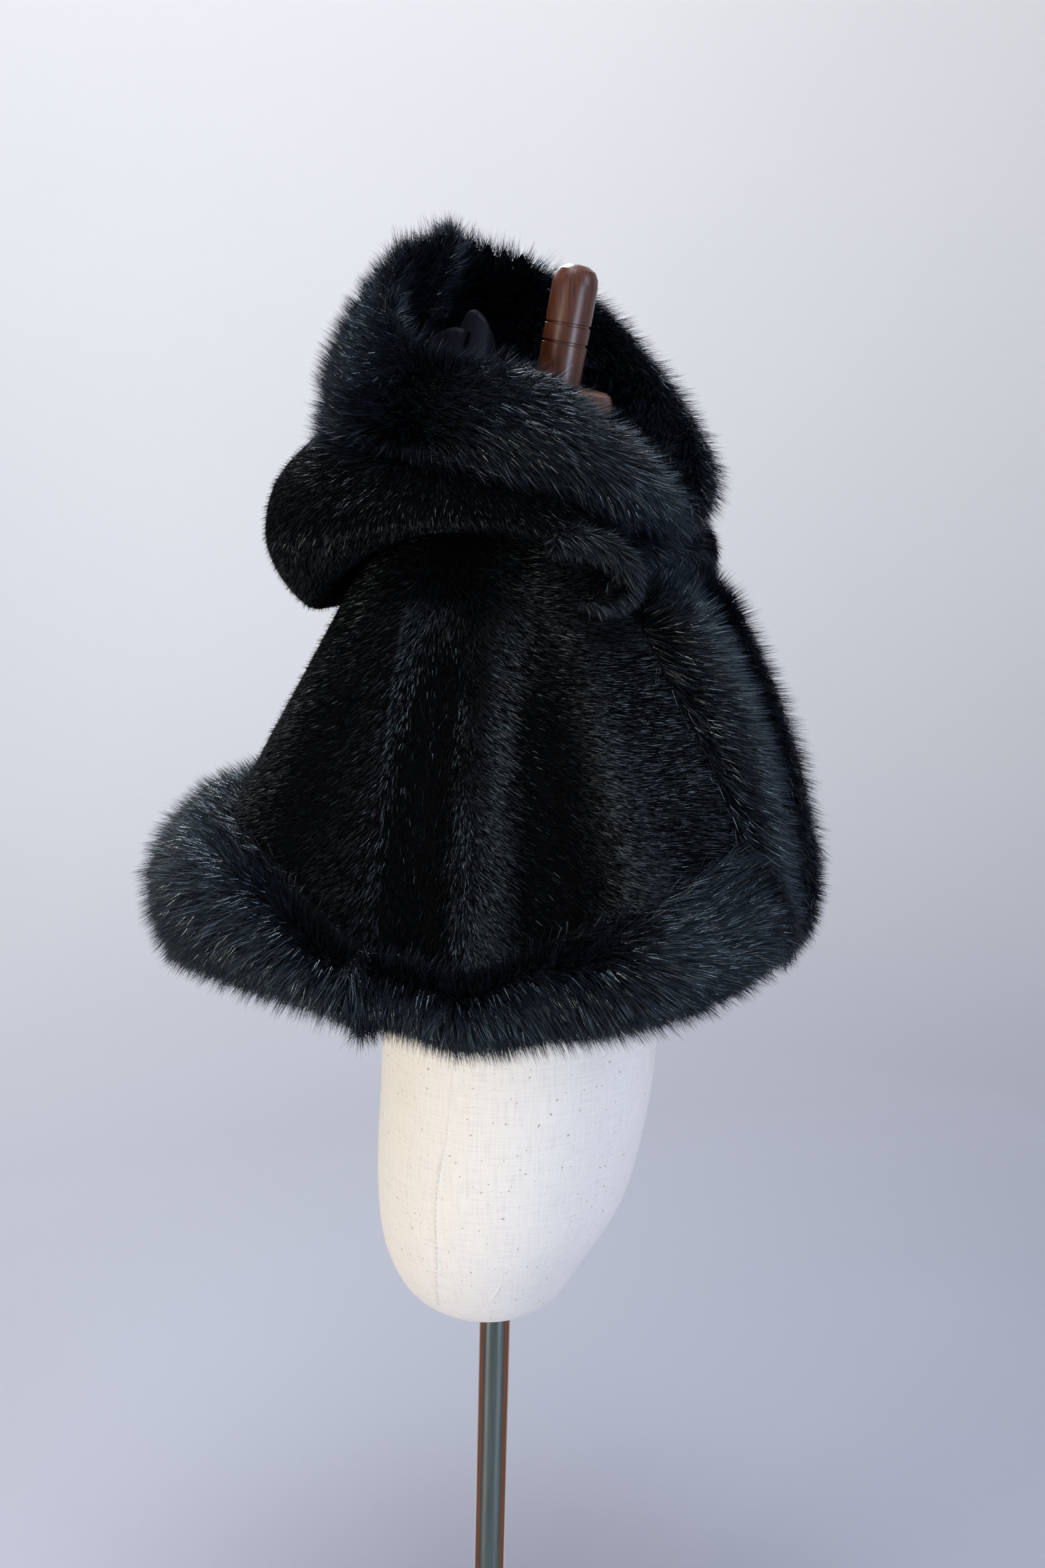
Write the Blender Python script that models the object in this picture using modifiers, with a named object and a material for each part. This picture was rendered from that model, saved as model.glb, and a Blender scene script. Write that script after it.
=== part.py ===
"""A child's hooded faux-fur cape, worn by a linen-covered dress form on a chrome stand.

Tables are in millimetres and degrees, the scene in metres. The pole stands on the Z axis and
the wearer faces -Y. Angles run round the pole: 0 at the front, 90 at the wearer's right, 180
at the back and 270 at the left. Every fur solid reaches as far as the tips of its pile.
"""

import math
from collections import namedtuple

import bmesh
import bpy
from mathutils import Matrix, Vector

MM = 0.001
SEAM_GAP = 0.3
PANEL_GAP = 0.8
HEM_GAP = 1.1
END_GAP = 1.2
JOIN_GAP = 1.2
SEAM_STEP = 2.4
PILE_WALL = 8.0
LINING_WALL = 1.5
LINING_GAP = 0.9
BACK = 180.0

# Body of the cape, neck seam to hem seam: height and radius at its front, side and back.
Level = namedtuple("Level", "front_z front_r side_z side_r back_z back_r")
LEVELS = (
    Level(902, 78, 938, 57, 953, 36),
    Level(893, 100, 919, 84, 931, 66),
    Level(870, 119, 888, 106, 893, 88),
    Level(833, 139, 848, 121, 848, 112),
    Level(797, 160, 800, 137, 808, 134),
    Level(759, 177, 745, 154, 772, 154),
    Level(722, 188, 690, 169, 740, 172),
)

# How far the hem seam lies above or below the levels, by angle; the left side mirrors it.
Drop = namedtuple("Drop", "angle rise")
HEM_DROPS = (
    Drop(0, 18), Drop(18, 16), Drop(30, 9), Drop(45, 1), Drop(60, -12), Drop(75, -18),
    Drop(90, -13), Drop(104, 2), Drop(122, 8), Drop(150, 5), Drop(180, 0),
)

# Hanging folds: the angle at the neck and at the hem, height off the wall, half width, and
# the share of the panel's length where the fold begins.
Fold = namedtuple("Fold", "neck_angle hem_angle height width start")
FOLDS = (
    Fold(54, 41, 9, 8, 0.28),
    Fold(62, 57, -9, 7, 0.25),
    Fold(69, 72, 12, 8, 0.22),
    Fold(86, 83, -11, 7, 0.20),
    Fold(99, 95, 6, 8, 0.15),
    Fold(118, 120, -5, 9, 0.35),
    Fold(142, 145, 6, 11, 0.35),
    Fold(180, 180, 5, 13, 0.40),
)

# Tips of the hem's fur: how far out and how high they hang, and how far the pile stands off.
Tip = namedtuple("Tip", "angle radius height pile")
HEM_TIPS = (
    Tip(0, 188, 655, 20), Tip(20, 191, 653, 21), Tip(35, 194, 647, 24), Tip(50, 193, 639, 26),
    Tip(70, 189, 632, 27), Tip(88, 190, 637, 28), Tip(105, 196, 643, 30), Tip(125, 204, 640, 36),
    Tip(150, 210, 630, 42), Tip(180, 213, 626, 43),
)
HEM_INNER_PILE = 11
FRONT_BAND = 60.0
FRONT_TOP = 0.15
CENTRE_FRONT = 0.08
CENTRE_GAP = 0.4
FRONT_TIP_LIFT = 4
FRONT_PILE = 25
FRONT_INNER_PILE = 9

# Hood, pushed back off the head: at each angle its lower roll, its widest point, the point
# below the band, the seam of the band, and the band's upper edge with its pile.
Hood = namedtuple(
    "Hood", "angle roll_r roll_z wide_r wide_z up_r up_z seam_r seam_z tip_r tip_z pile"
)
HOOD_RIGHT = (
    Hood(34, 116, 888, 131, 898, 125, 911, 115, 924, 101, 980, 20),
    Hood(50, 113, 903, 130, 913, 125, 925, 114, 939, 91, 1000, 25),
    Hood(75, 115, 913, 131, 922, 126, 934, 114, 949, 82, 1010, 26),
    Hood(100, 117, 906, 135, 918, 130, 935, 115, 954, 80, 1013, 25),
    Hood(125, 121, 882, 145, 904, 140, 933, 117, 961, 82, 1034, 22),
    Hood(150, 124, 854, 155, 893, 150, 934, 118, 970, 70, 1074, 19),
    Hood(180, 130, 846, 166, 893, 160, 934, 119, 974, 44, 1088, 19),
)
HOOD_LEFT = (
    Hood(34, 116, 888, 131, 898, 125, 911, 115, 924, 108, 980, 20),
    Hood(50, 113, 901, 130, 912, 126, 926, 115, 942, 99, 1010, 22),
    Hood(75, 115, 910, 131, 921, 127, 937, 115, 957, 88, 1050, 22),
    Hood(100, 117, 902, 135, 917, 131, 939, 117, 966, 83, 1076, 21),
    Hood(125, 121, 880, 145, 904, 140, 938, 118, 972, 78, 1086, 20),
    Hood(150, 124, 854, 155, 893, 150, 936, 119, 974, 66, 1090, 19),
    Hood(180, 130, 846, 166, 893, 160, 934, 119, 974, 44, 1088, 19),
)
# The band's lower end at the front of the neck.
End = namedtuple("End", "angle seam_r seam_z tip_r tip_z pile")
HOOD_ENDS = (
    End(2, 94, 908, 117, 930, 12),
    End(14, 101, 910, 116, 947, 17),
)
# The curl in the hood's roll by the front, on both sides: where it sinks in and how wide.
CURL_ANGLE = 43.0
CURL_HEIGHT = 903.0
CURL_DEPTH = 12.0
CURL_WIDTH = 12.0
HOOD_INNER_PILE = 11
# Where the hood's inner layer lies on the body: share of the way down and height off it.
Bed = namedtuple("Bed", "v lift")
HOOD_BED = (Bed(0.012, 0.7), Bed(0.09, 1.2), Bed(0.18, 3.0))
HOOD_STEPS = 3
# Satin shows from this angle round the back, up to this share of the band's width.
LINING_START = 60.0
LINING_RISE = 0.56
LINING_FALL = 0.3
LINING_SHARES = (0.4, 0.6, 0.8, 1.0)
LINING_ROWS = 5

# Outline of a fur band across its width: share of the way from seam to tips, and share of the
# pile (positive on the outside). The seam edge is as thick as the panel it is sewn to.
Outline = namedtuple("Outline", "along pile")
BAND = (
    Outline(0.07, 0.50), Outline(0.22, 0.86), Outline(0.45, 1.00), Outline(0.70, 0.84),
    Outline(0.90, 0.48), Outline(1.00, 0.08), Outline(0.93, -0.45), Outline(0.72, -0.84),
    Outline(0.46, -1.00), Outline(0.22, -0.84), Outline(0.06, -0.50),
)

# Torso rings, bottom to neck: height, centre, half width, half depth and forward lean.
Ring = namedtuple("Ring", "height centre_y half_x half_y lean")
TORSO = (
    Ring(371.0, 3, 16, 16, 0), Ring(373.5, 4, 26, 25, 0), Ring(380, 5, 44, 42, 0),
    Ring(389, 6, 57, 53, 0), Ring(403, 6, 70, 61, 0), Ring(430, 3, 87, 73, 0),
    Ring(460, -5, 98, 83, 0), Ring(500, -9, 105, 87, 0), Ring(548, -15, 108, 89, 0),
    Ring(610, -15, 107, 89, 0), Ring(680, -10, 101, 84, 0), Ring(750, -8, 102, 84, 0),
    Ring(810, -8, 104, 84, 0), Ring(850, -8, 101, 79, 0), Ring(878, -8, 92, 70, 1),
    Ring(898, -10, 75, 58, 2), Ring(914, -13, 58.6, 50, 4), Ring(930, -16, 45, 43, 6),
    Ring(950, -19, 39, 40, 8), Ring(970, -23, 36.5, 37, 9.6), Ring(983, -25, 36, 36, 9.6),
)
TORSO_SIDES = 36

# Turned pieces: radius and height of the profile above the foot of the piece.
Turn = namedtuple("Turn", "radius height")
NECK_CAP = (
    Turn(0, 0), Turn(31, 0), Turn(34, 1.6), Turn(35.5, 5), Turn(35.5, 9.5), Turn(34, 13),
    Turn(31, 14.7), Turn(0, 14.7),
)
FINIAL = (
    Turn(0, 0), Turn(13.4, 0), Turn(14, 0.7), Turn(14, 24), Turn(13, 24.4), Turn(13, 25.6),
    Turn(14, 26), Turn(14, 35.1), Turn(13, 35.5), Turn(13, 36.7), Turn(14, 37.1), Turn(14, 59),
    Turn(13.3, 64), Turn(11, 68.2), Turn(6.5, 70.7), Turn(0, 71.5),
)
BASE_PLATE = (
    Turn(0, 0), Turn(168, 0), Turn(170, 2), Turn(170, 8), Turn(168, 10), Turn(28, 12),
    Turn(24, 14), Turn(22, 24), Turn(20, 26), Turn(0, 26),
)
CAP_LEAN = 9.6
CAP_FOOT = Vector((0, -25.1, 983.4))
POLE_RADIUS = 11.0
TURN_STEPS = 32

PARTS = bpy.data.collections.new("cape_on_form")


def clear_scene():
    for thing in list(bpy.data.objects):
        bpy.data.objects.remove(thing, do_unlink=True)
    bpy.context.scene.collection.children.link(PARTS)


def material(name, colour, roughness, metallic=0.0):
    made = bpy.data.materials.new(name)
    made.use_nodes = True
    shader = made.node_tree.nodes["Principled BSDF"]
    shader.inputs["Base Color"].default_value = (*colour, 1.0)
    shader.inputs["Roughness"].default_value = roughness
    shader.inputs["Metallic"].default_value = metallic
    return made


def add_object(name, built, colour, roughness, metallic=0.0):
    """An object from a mesh built in millimetres."""
    bmesh.ops.scale(built, vec=(MM, MM, MM), verts=built.verts)
    mesh = bpy.data.meshes.new(name)
    built.to_mesh(mesh)
    built.free()
    mesh.materials.append(material(name, colour, roughness, metallic))
    made = bpy.data.objects.new(name, mesh)
    PARTS.objects.link(made)
    return made


def eased(t):
    t = min(1.0, max(0.0, t))
    return t * t * (3 - 2 * t)


def hermite(before, start, end, after, t):
    """A value between start and end on a smooth curve through all four."""
    first = (end - before) * 0.5
    last = (after - start) * 0.5
    t2, t3 = t * t, t * t * t
    return (
        start * (2 * t3 - 3 * t2 + 1) + first * (t3 - 2 * t2 + t)
        + end * (3 * t2 - 2 * t3) + last * (t3 - t2)
    )


def on_levels(column, v):
    """A column of the level table at a share v of the way from neck to hem."""
    values = [getattr(level, column) for level in LEVELS]
    place = min(max(v, 0.0), 1.0) * (len(values) - 1)
    i = min(int(place), len(values) - 2)
    before = values[i - 1] if i else 2 * values[0] - values[1]
    after = values[i + 2] if i + 2 < len(values) else 2 * values[-1] - values[-2]
    return hermite(before, values[i], values[i + 1], after, place - i)


def by_angle(rows, column, angle):
    """A column of a table at an angle, eased from row to row."""
    if angle <= rows[0].angle:
        return getattr(rows[0], column)
    for low, high in zip(rows, rows[1:]):
        if angle <= high.angle:
            t = (angle - low.angle) / (high.angle - low.angle)
            i = rows.index(low)
            before = getattr(rows[max(i - 1, 0)], column)
            after = getattr(rows[min(i + 2, len(rows) - 1)], column)
            return hermite(before, getattr(low, column), getattr(high, column), after, t)
    return getattr(rows[-1], column)


def folded(angle):
    """The angle from the front on either side, as the tables of both sides use it."""
    angle = angle % 360
    return angle if angle <= 180 else 360 - angle


def direction(angle):
    turn = math.radians(angle)
    return Vector((-math.sin(turn), -math.cos(turn), 0))


def polar(angle, radius, height):
    return direction(angle) * radius + Vector((0, 0, height))


def body_point(angle, v):
    """A point of the cape's outer face."""
    side = folded(angle)
    turn = math.radians(side)
    across = math.sin(turn) ** 2
    end = "front" if side < 90 else "back"
    radius = across * on_levels("side_r", v) + (1 - across) * on_levels(end + "_r", v)
    height = across * on_levels("side_z", v) + (1 - across) * on_levels(end + "_z", v)
    height += by_angle(HEM_DROPS, "rise", side) * v ** 3
    for fold in FOLDS:
        middle = fold.neck_angle + (fold.hem_angle - fold.neck_angle) * v
        grown = eased((v - fold.start) / (1 - fold.start))
        radius += fold.height * grown * math.exp(-(((side - middle) / fold.width) ** 2))
    return polar(angle, radius, height)


def body_slopes(angle, v):
    """Unit vectors at a point of the cape: along rising angles, down to the hem, and outward."""
    round_it = (body_point(angle + 0.2, v) - body_point(angle - 0.2, v)).normalized()
    low, high = max(v - 0.004, 0.0), min(v + 0.004, 1.0)
    down = (body_point(angle, high) - body_point(angle, low)).normalized()
    return round_it, down, round_it.cross(down).normalized()


def spread(start, end, count, margin):
    """Evenly spaced values with a narrow step at each end, which keeps seam edges square."""
    inner = [start + margin + (end - start - 2 * margin) * i / count for i in range(count + 1)]
    return [start, *inner, end]


Column = namedtuple("Column", "place shift")


def seamed(start, end, count):
    """Evenly spaced columns, each end doubled: moved half a panel gap in, and a narrow step."""
    inner = [Column(start + (end - start) * i / count, 0.0) for i in range(1, count)]
    first = [Column(start, PANEL_GAP / 2), Column(start, SEAM_STEP)]
    last = [Column(end, -SEAM_STEP), Column(end, -PANEL_GAP / 2)]
    return [*first, *inner, *last]


def grid_mesh(grid):
    built = bmesh.new()
    verts = [[built.verts.new(point) for point in line] for line in grid]
    for left, right in zip(verts, verts[1:]):
        for i in range(len(left) - 1):
            built.faces.new((left[i], right[i], right[i + 1], left[i + 1]))
    return built


def cloth(name, grid, wall, inward, colour, roughness):
    """A cloth panel: an open grid of its outer face, thickened inward."""
    built = grid_mesh(grid)
    built.normal_update()
    facing = sum((face.normal * face.calc_area() for face in built.faces), Vector())
    if facing.dot(inward) > 0:
        bmesh.ops.reverse_faces(built, faces=built.faces)
    made = add_object(name, built, colour, roughness)
    thicken = made.modifiers.new("cloth wall", "SOLIDIFY")
    thicken.thickness = wall * MM
    thicken.offset = -1.0
    return made


def loft(name, rings, colour, roughness):
    """A closed body through rings of equal count, capped at both ends."""
    built = bmesh.new()
    verts = [[built.verts.new(point) for point in ring] for ring in rings]
    for low, high in zip(verts, verts[1:]):
        for i in range(len(low)):
            j = (i + 1) % len(low)
            built.faces.new((low[i], low[j], high[j], high[i]))
    built.faces.new(reversed(verts[0]))
    built.faces.new(verts[-1])
    if built.calc_volume(signed=True) < 0:
        bmesh.ops.reverse_faces(built, faces=built.faces)
    return add_object(name, built, colour, roughness)


def turned(name, profile, foot, lean, colour, roughness, metallic=0.0):
    """A turned piece: its profile swept round with Screw, leaned forward and set on its foot."""
    built = bmesh.new()
    verts = [built.verts.new((turn.radius, 0, turn.height)) for turn in profile]
    for low, high in zip(verts, verts[1:]):
        built.edges.new((low, high))
    made = add_object(name, built, colour, roughness, metallic)
    sweep = made.modifiers.new("lathe", "SCREW")
    sweep.steps = TURN_STEPS
    sweep.render_steps = TURN_STEPS
    sweep.use_merge_vertices = True
    sweep.merge_threshold = 0.00001
    sweep.use_normal_flip = True
    made.matrix_world = Matrix.Translation(foot * MM) @ Matrix.Rotation(math.radians(lean), 4, "X")
    return made


BODY_FUR = ((0.012, 0.012, 0.014), 0.75)
TRIM_FUR = ((0.008, 0.009, 0.011), 0.6)
SATIN = ((0.02, 0.02, 0.022), 0.3)
LINEN = ((0.80, 0.77, 0.70), 0.9)
WOOD = ((0.22, 0.08, 0.04), 0.25)
CHROME = ((0.8, 0.8, 0.82), 0.08, 1.0)
STEEL = ((0.55, 0.55, 0.57), 0.4, 1.0)

DOWN = spread(0.0, 1.0, 10, 0.006)
BACK_COLUMNS = seamed(0.0, 1.0, 28)
FRONT_COLUMNS = seamed(0.0, 1.0, 25)
HOOD_START = 34.0
HOOD_CURL_END = 55.0
HOOD_COLUMNS = [
    *(Column(HOOD_START + 3.5 * i, 0.0) for i in range(6)), *seamed(HOOD_CURL_END, BACK, 15)[1:],
]


def front_edge(v):
    """The angle of a front panel's edge, a band's width from the centre front."""
    radius = on_levels("front_r", v)
    return math.degrees((FRONT_BAND - 3 * eased((v - 0.5) * 2)) / radius)


def side_seam(v):
    """The angle of a side seam, which bows back between neck and hem."""
    return 95 - 5 * v + 5 * math.sin(math.pi * v)


def front_angle(share, v):
    return side_seam(v) + (front_edge(v) - side_seam(v)) * share


def back_angle(share, v):
    return side_seam(v) + (360 - 2 * side_seam(v)) * share


def on_side(angle, side):
    """An angle on the right side (side 1) or mirrored on the left (side -1)."""
    return angle if side > 0 else 360 - angle


def set_aside(angle, v, shift):
    """How far a column moves along the cloth at a level: a seam gap keeps its size, while a
    narrow step shrinks with the neck."""
    if abs(shift) > PANEL_GAP:
        shift *= on_levels("side_r", v) / LEVELS[-1].side_r
    return body_slopes(angle, v)[0] * shift


def body_back():
    grid = []
    for share, shift in BACK_COLUMNS:
        line = []
        for v in DOWN:
            angle = back_angle(share, v)
            line.append(body_point(angle, v) + set_aside(angle, v, shift))
        grid.append(line)
    cloth("body_back", grid, PILE_WALL, Vector((0, -1, -0.3)), *BODY_FUR)


def body_front(name, side):
    grid = []
    for share, shift in FRONT_COLUMNS:
        line = []
        for v in DOWN:
            angle = on_side(front_angle(share, v), side)
            line.append(body_point(angle, v) + set_aside(angle, v, -side * shift))
        grid.append(line)
    cloth(name, grid, PILE_WALL, Vector((side, 0.4, -0.3)), *BODY_FUR)


Station = namedtuple("Station", "seam tip seam_normal normal pile inner")


def band_rings(stations):
    """Rings of a fur band from its stations: the sewn edge, then the outline of the pile."""
    rings = []
    half = PILE_WALL / 2 - SEAM_GAP
    for seam, tip, seam_normal, normal, pile, inner in stations:
        ring = [seam + seam_normal * half]
        for row in BAND:
            reach = pile if row.pile > 0 else inner
            ring.append(seam.lerp(tip, row.along) + normal * (row.pile * reach))
        ring.append(seam - seam_normal * half)
        rings.append(ring)
    return rings


def square_to(chord, normal):
    """The part of a normal that stands square to a chord."""
    chord = chord.normalized()
    return (normal - chord * normal.dot(chord)).normalized()


def fold_height(angle):
    """How far the folds stand off the wall at the hem seam."""
    side = folded(angle)
    return sum(f.height * math.exp(-(((side - f.hem_angle) / f.width) ** 2)) for f in FOLDS)


def hem_station(angle, tip_angle):
    round_it, down, outward = body_slopes(angle, 1.0)
    seam = body_point(angle, 1.0) - outward * (PILE_WALL / 2) + down * HEM_GAP
    side = folded(tip_angle)
    radius = by_angle(HEM_TIPS, "radius", side) + 0.5 * fold_height(angle)
    tip = polar(tip_angle, radius, by_angle(HEM_TIPS, "height", side))
    level = sum((body_slopes(angle + turn, 1.0)[2] for turn in (-16, -8, 0, 8, 16)), Vector())
    normal = square_to(tip - seam, level)
    return Station(seam, tip, outward, normal, by_angle(HEM_TIPS, "pile", side), HEM_INNER_PILE)


def moved(station, shift):
    return station._replace(seam=station.seam + shift, tip=station.tip + shift)


def joined(shift):
    """A column's shift for a band, whose ends stand half a join apart from the next band."""
    at_end = 0 < abs(shift) < PANEL_GAP
    return math.copysign(JOIN_GAP / 2, shift) if at_end else shift


def flat_end(station):
    along = (station.tip - station.seam).normalized()
    return station._replace(seam=station.seam + along * END_GAP, seam_normal=station.normal)


def squared(stations):
    """Stations whose end ones lie flat, so that two bands meet along a plane."""
    return [flat_end(stations[0]), *stations[1:-1], flat_end(stations[-1])]


def hem_trim_back():
    stations = []
    for share, shift in BACK_COLUMNS:
        angle = back_angle(share, 1.0)
        round_it = body_slopes(angle, 1.0)[0]
        stations.append(moved(hem_station(angle, angle), round_it * joined(shift)))
    loft("hem_trim_back", band_rings(squared(stations)), *TRIM_FUR)


def corner_turn(share):
    """How far a front band's tips have turned toward the centre front."""
    return eased((share - 0.55) / 0.45)


def corner_station(side):
    """The mitre at a front corner, from the panel's corner to the foot of the centre front."""
    return hem_station(on_side(front_angle(1.0, 1.0), side), on_side(CENTRE_FRONT, side))


def hem_trim_front(name, side):
    stations = []
    for share, shift in FRONT_COLUMNS:
        angle = front_angle(share, 1.0)
        tip_angle = angle * (1 - corner_turn(share)) + CENTRE_FRONT * corner_turn(share)
        station = hem_station(on_side(angle, side), on_side(tip_angle, side))
        round_it = body_slopes(on_side(angle, side), 1.0)[0]
        stations.append(moved(station, round_it * (-side * joined(shift))))
    stations[-1] = corner_station(side)
    loft(name, band_rings(squared(stations)), *TRIM_FUR)


def front_trim(name, side):
    stations = []
    end = corner_station(side)
    across = (end.tip - end.seam).cross(end.normal).normalized()
    end = moved(end, across * math.copysign(JOIN_GAP, across.z))
    for v in [v for v in DOWN if v > FRONT_TOP]:
        angle = on_side(front_edge(v), side)
        round_it, down, outward = body_slopes(angle, v)
        inward = round_it * -side
        seam = body_point(angle, v) - outward * (PILE_WALL / 2) + inward * SEAM_GAP
        centre = on_side(CENTRE_FRONT, side)
        tip = body_point(centre, v) + body_slopes(centre, v)[2] * FRONT_TIP_LIFT
        turn = max(0.0, (v - 0.5) / 0.5) ** 1.6
        tip = tip.lerp(end.tip, turn)
        normal = square_to(tip - seam, outward)
        grown = 0.35 + 0.65 * eased((v - FRONT_TOP) / 0.25)
        pile = (FRONT_PILE * (1 - turn) + end.pile * turn) * grown
        inner = FRONT_INNER_PILE * (1 - turn) + end.inner * turn
        stations.append(Station(seam, tip, outward, normal, pile, inner))
    stations[-1] = end
    rings = band_rings(squared(stations))
    limit = -side * CENTRE_GAP / 2
    for ring in rings:
        for point in ring:
            point.x = min(point.x, limit) if side > 0 else max(point.x, limit)
    loft(name, rings, *TRIM_FUR)


def smooth_line(points, steps):
    """A smooth line through points, paced by their distances so that it doesn't overshoot."""
    gaps = [(b - a).length for a, b in zip(points, points[1:])]
    slopes = []
    for i in range(len(points)):
        if i == 0:
            slopes.append((points[1] - points[0]) / gaps[0])
        elif i == len(points) - 1:
            slopes.append((points[-1] - points[-2]) / gaps[-1])
        else:
            back = (points[i] - points[i - 1]) / gaps[i - 1]
            ahead = (points[i + 1] - points[i]) / gaps[i]
            slopes.append((back * gaps[i] + ahead * gaps[i - 1]) / (gaps[i - 1] + gaps[i]))
    line = [points[0]]
    for i, gap in enumerate(gaps):
        for k in range(1, steps + 1):
            t = k / steps
            t2, t3 = t * t, t * t * t
            line.append(
                points[i] * (2 * t3 - 3 * t2 + 1) + slopes[i] * gap * (t3 - 2 * t2 + t)
                + points[i + 1] * (3 * t2 - 2 * t3) + slopes[i + 1] * gap * (t3 - t2)
            )
    return line


def hood_line(rows, angle, side):
    """A section of the hood at an angle: from the neck seam under the roll and up to the band."""
    place = on_side(angle, side)
    points = []
    for bed in HOOD_BED:
        points.append(body_point(place, bed.v) + body_slopes(place, bed.v)[2] * bed.lift)
    for spot in ("roll", "wide", "up", "seam"):
        radius = by_angle(rows, spot + "_r", angle)
        height = by_angle(rows, spot + "_z", angle)
        points.append(polar(place, radius, height))
    line = smooth_line(points, HOOD_STEPS)
    roll = len(HOOD_BED) * HOOD_STEPS
    for i in range(roll + 1, len(line) - 1):
        across = math.radians(angle - CURL_ANGLE) * rows[0].wide_r
        near = math.exp(-(across ** 2 + (line[i].z - CURL_HEIGHT) ** 2) / CURL_WIDTH ** 2)
        line[i] = line[i] - direction(place) * (CURL_DEPTH * near)
    return line


def hood_normal(line, i, place):
    """The outward normal of a hood section, in its own upright plane."""
    low, high = line[max(i - 1, 0)], line[min(i + 1, len(line) - 1)]
    along = high - low
    out = direction(place)
    return (out * along.z - Vector((0, 0, 1)) * along.dot(out)).normalized()


def hood_panel(name, rows, side):
    grid = []
    for angle, shift in HOOD_COLUMNS:
        aside = Vector((side * shift, 0, 0)) if angle == BACK else Vector()
        grid.append([point + aside for point in hood_line(rows, angle, side)])
    cloth(name, grid, PILE_WALL, Vector((0, 0, 1)), *BODY_FUR)


def hood_station(rows, angle, side):
    place = on_side(angle, side)
    out, up = direction(place), Vector((0, 0, 1))
    if angle < HOOD_START:
        last = End(*(getattr(rows[0], column) for column in End._fields))
        table = (*HOOD_ENDS, last)
    else:
        table = rows
    seam = polar(place, by_angle(table, "seam_r", angle), by_angle(table, "seam_z", angle))
    tip = polar(place, by_angle(table, "tip_r", angle), by_angle(table, "tip_z", angle))
    pile = by_angle(table, "pile", angle)
    chord = tip - seam
    normal = (out * chord.z - up * chord.dot(out)).normalized()
    seam_normal = normal
    if angle >= HOOD_START:
        line = hood_line(rows, angle, side)
        seam_normal = hood_normal(line, len(line) - 1, place)
        seam = seam - seam_normal * (PILE_WALL / 2)
        seam += (line[-1] - line[-2]).normalized() * HEM_GAP
    inner = HOOD_INNER_PILE * min(1.0, pile / rows[0].pile)
    return Station(seam, tip, seam_normal, normal, pile, inner)


def hood_trim(name, rows, side):
    stations = [hood_station(rows, angle, side) for angle in (2.0, 8.0, 14.0, 20.0, 27.0)]
    for angle, shift in HOOD_COLUMNS:
        aside = Vector((side * joined(shift), 0, 0)) if angle == BACK else Vector()
        stations.append(moved(hood_station(rows, angle, side), aside))
    loft(name, band_rings(squared(stations)), *TRIM_FUR)


def hood_lining():
    """The satin that shows: up the inside of the hood and over the band's inner face."""
    grid = []
    angles = spread(LINING_START, BACK, 16, 0.5)
    sides = [(angle, 1) for angle in angles] + [(angle, -1) for angle in reversed(angles[:-1])]
    for angle, side in sides:
        rows = HOOD_RIGHT if side > 0 else HOOD_LEFT
        place = on_side(angle, side)
        line = hood_line(rows, angle, side)
        station = hood_station(rows, angle, side)
        points = []
        for i in range(len(line) - LINING_ROWS, len(line)):
            points.append(line[i] - hood_normal(line, i, place) * (PILE_WALL + LINING_GAP))
        rise = LINING_RISE
        if side < 0:
            rise -= LINING_FALL * eased((150 - angle) / 60)
        for share in LINING_SHARES:
            along = rise * share
            deep = station.inner * (1.0 - abs(along - 0.46) * 0.6) + LINING_GAP
            points.append(station.seam.lerp(station.tip, along) - station.normal * deep)
        grid.append(points)
    cloth("hood_lining", grid, LINING_WALL, Vector((0, -1, 0)), *SATIN)


def torso():
    rings = []
    for row in TORSO:
        lean = Matrix.Rotation(math.radians(row.lean), 3, "X")
        ring = []
        for i in range(TORSO_SIDES):
            turn = 2 * math.pi * i / TORSO_SIDES
            flat = Vector((row.half_x * math.cos(turn), row.half_y * math.sin(turn), 0))
            ring.append(lean @ flat + Vector((0, row.centre_y, row.height)))
        rings.append(ring)
    loft("form_torso", rings, *LINEN)


def stand():
    lean = Matrix.Rotation(math.radians(CAP_LEAN), 3, "X")
    turned("neck_cap", NECK_CAP, CAP_FOOT, CAP_LEAN, *WOOD)
    cap_height = NECK_CAP[-1].height + SEAM_GAP
    turned("finial", FINIAL, CAP_FOOT + lean @ Vector((0, 0, cap_height)), CAP_LEAN, *WOOD)
    pole_foot = BASE_PLATE[-1].height + SEAM_GAP
    pole_top = TORSO[0].height - SEAM_GAP
    tube = (
        Turn(0, 0), Turn(POLE_RADIUS, 0), Turn(POLE_RADIUS, pole_top - pole_foot),
        Turn(0, pole_top - pole_foot),
    )
    turned("pole", tube, Vector((0, 0, pole_foot)), 0, *CHROME)
    turned("base_plate", BASE_PLATE, Vector((0, 0, 0)), 0, *STEEL)


clear_scene()
body_back()
body_front("body_front_right", 1)
body_front("body_front_left", -1)
hem_trim_back()
hem_trim_front("hem_trim_right", 1)
hem_trim_front("hem_trim_left", -1)
front_trim("front_trim_right", 1)
front_trim("front_trim_left", -1)
hood_panel("hood_right", HOOD_RIGHT, 1)
hood_panel("hood_left", HOOD_LEFT, -1)
hood_trim("hood_trim_right", HOOD_RIGHT, 1)
hood_trim("hood_trim_left", HOOD_LEFT, -1)
hood_lining()
torso()
stand()
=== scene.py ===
"""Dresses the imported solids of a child's hooded fur cape and of the dress form that wears it.

Each fur piece is a cloth backing with its own hairs: the backing is the piece's solid drawn in by
the depth of the pile, and the hairs run from it to the solid's face. The form gets its linen cover
with seams, and the stand its turned wood, chrome tube and steel base. Lengths are in metres.
"""

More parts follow.
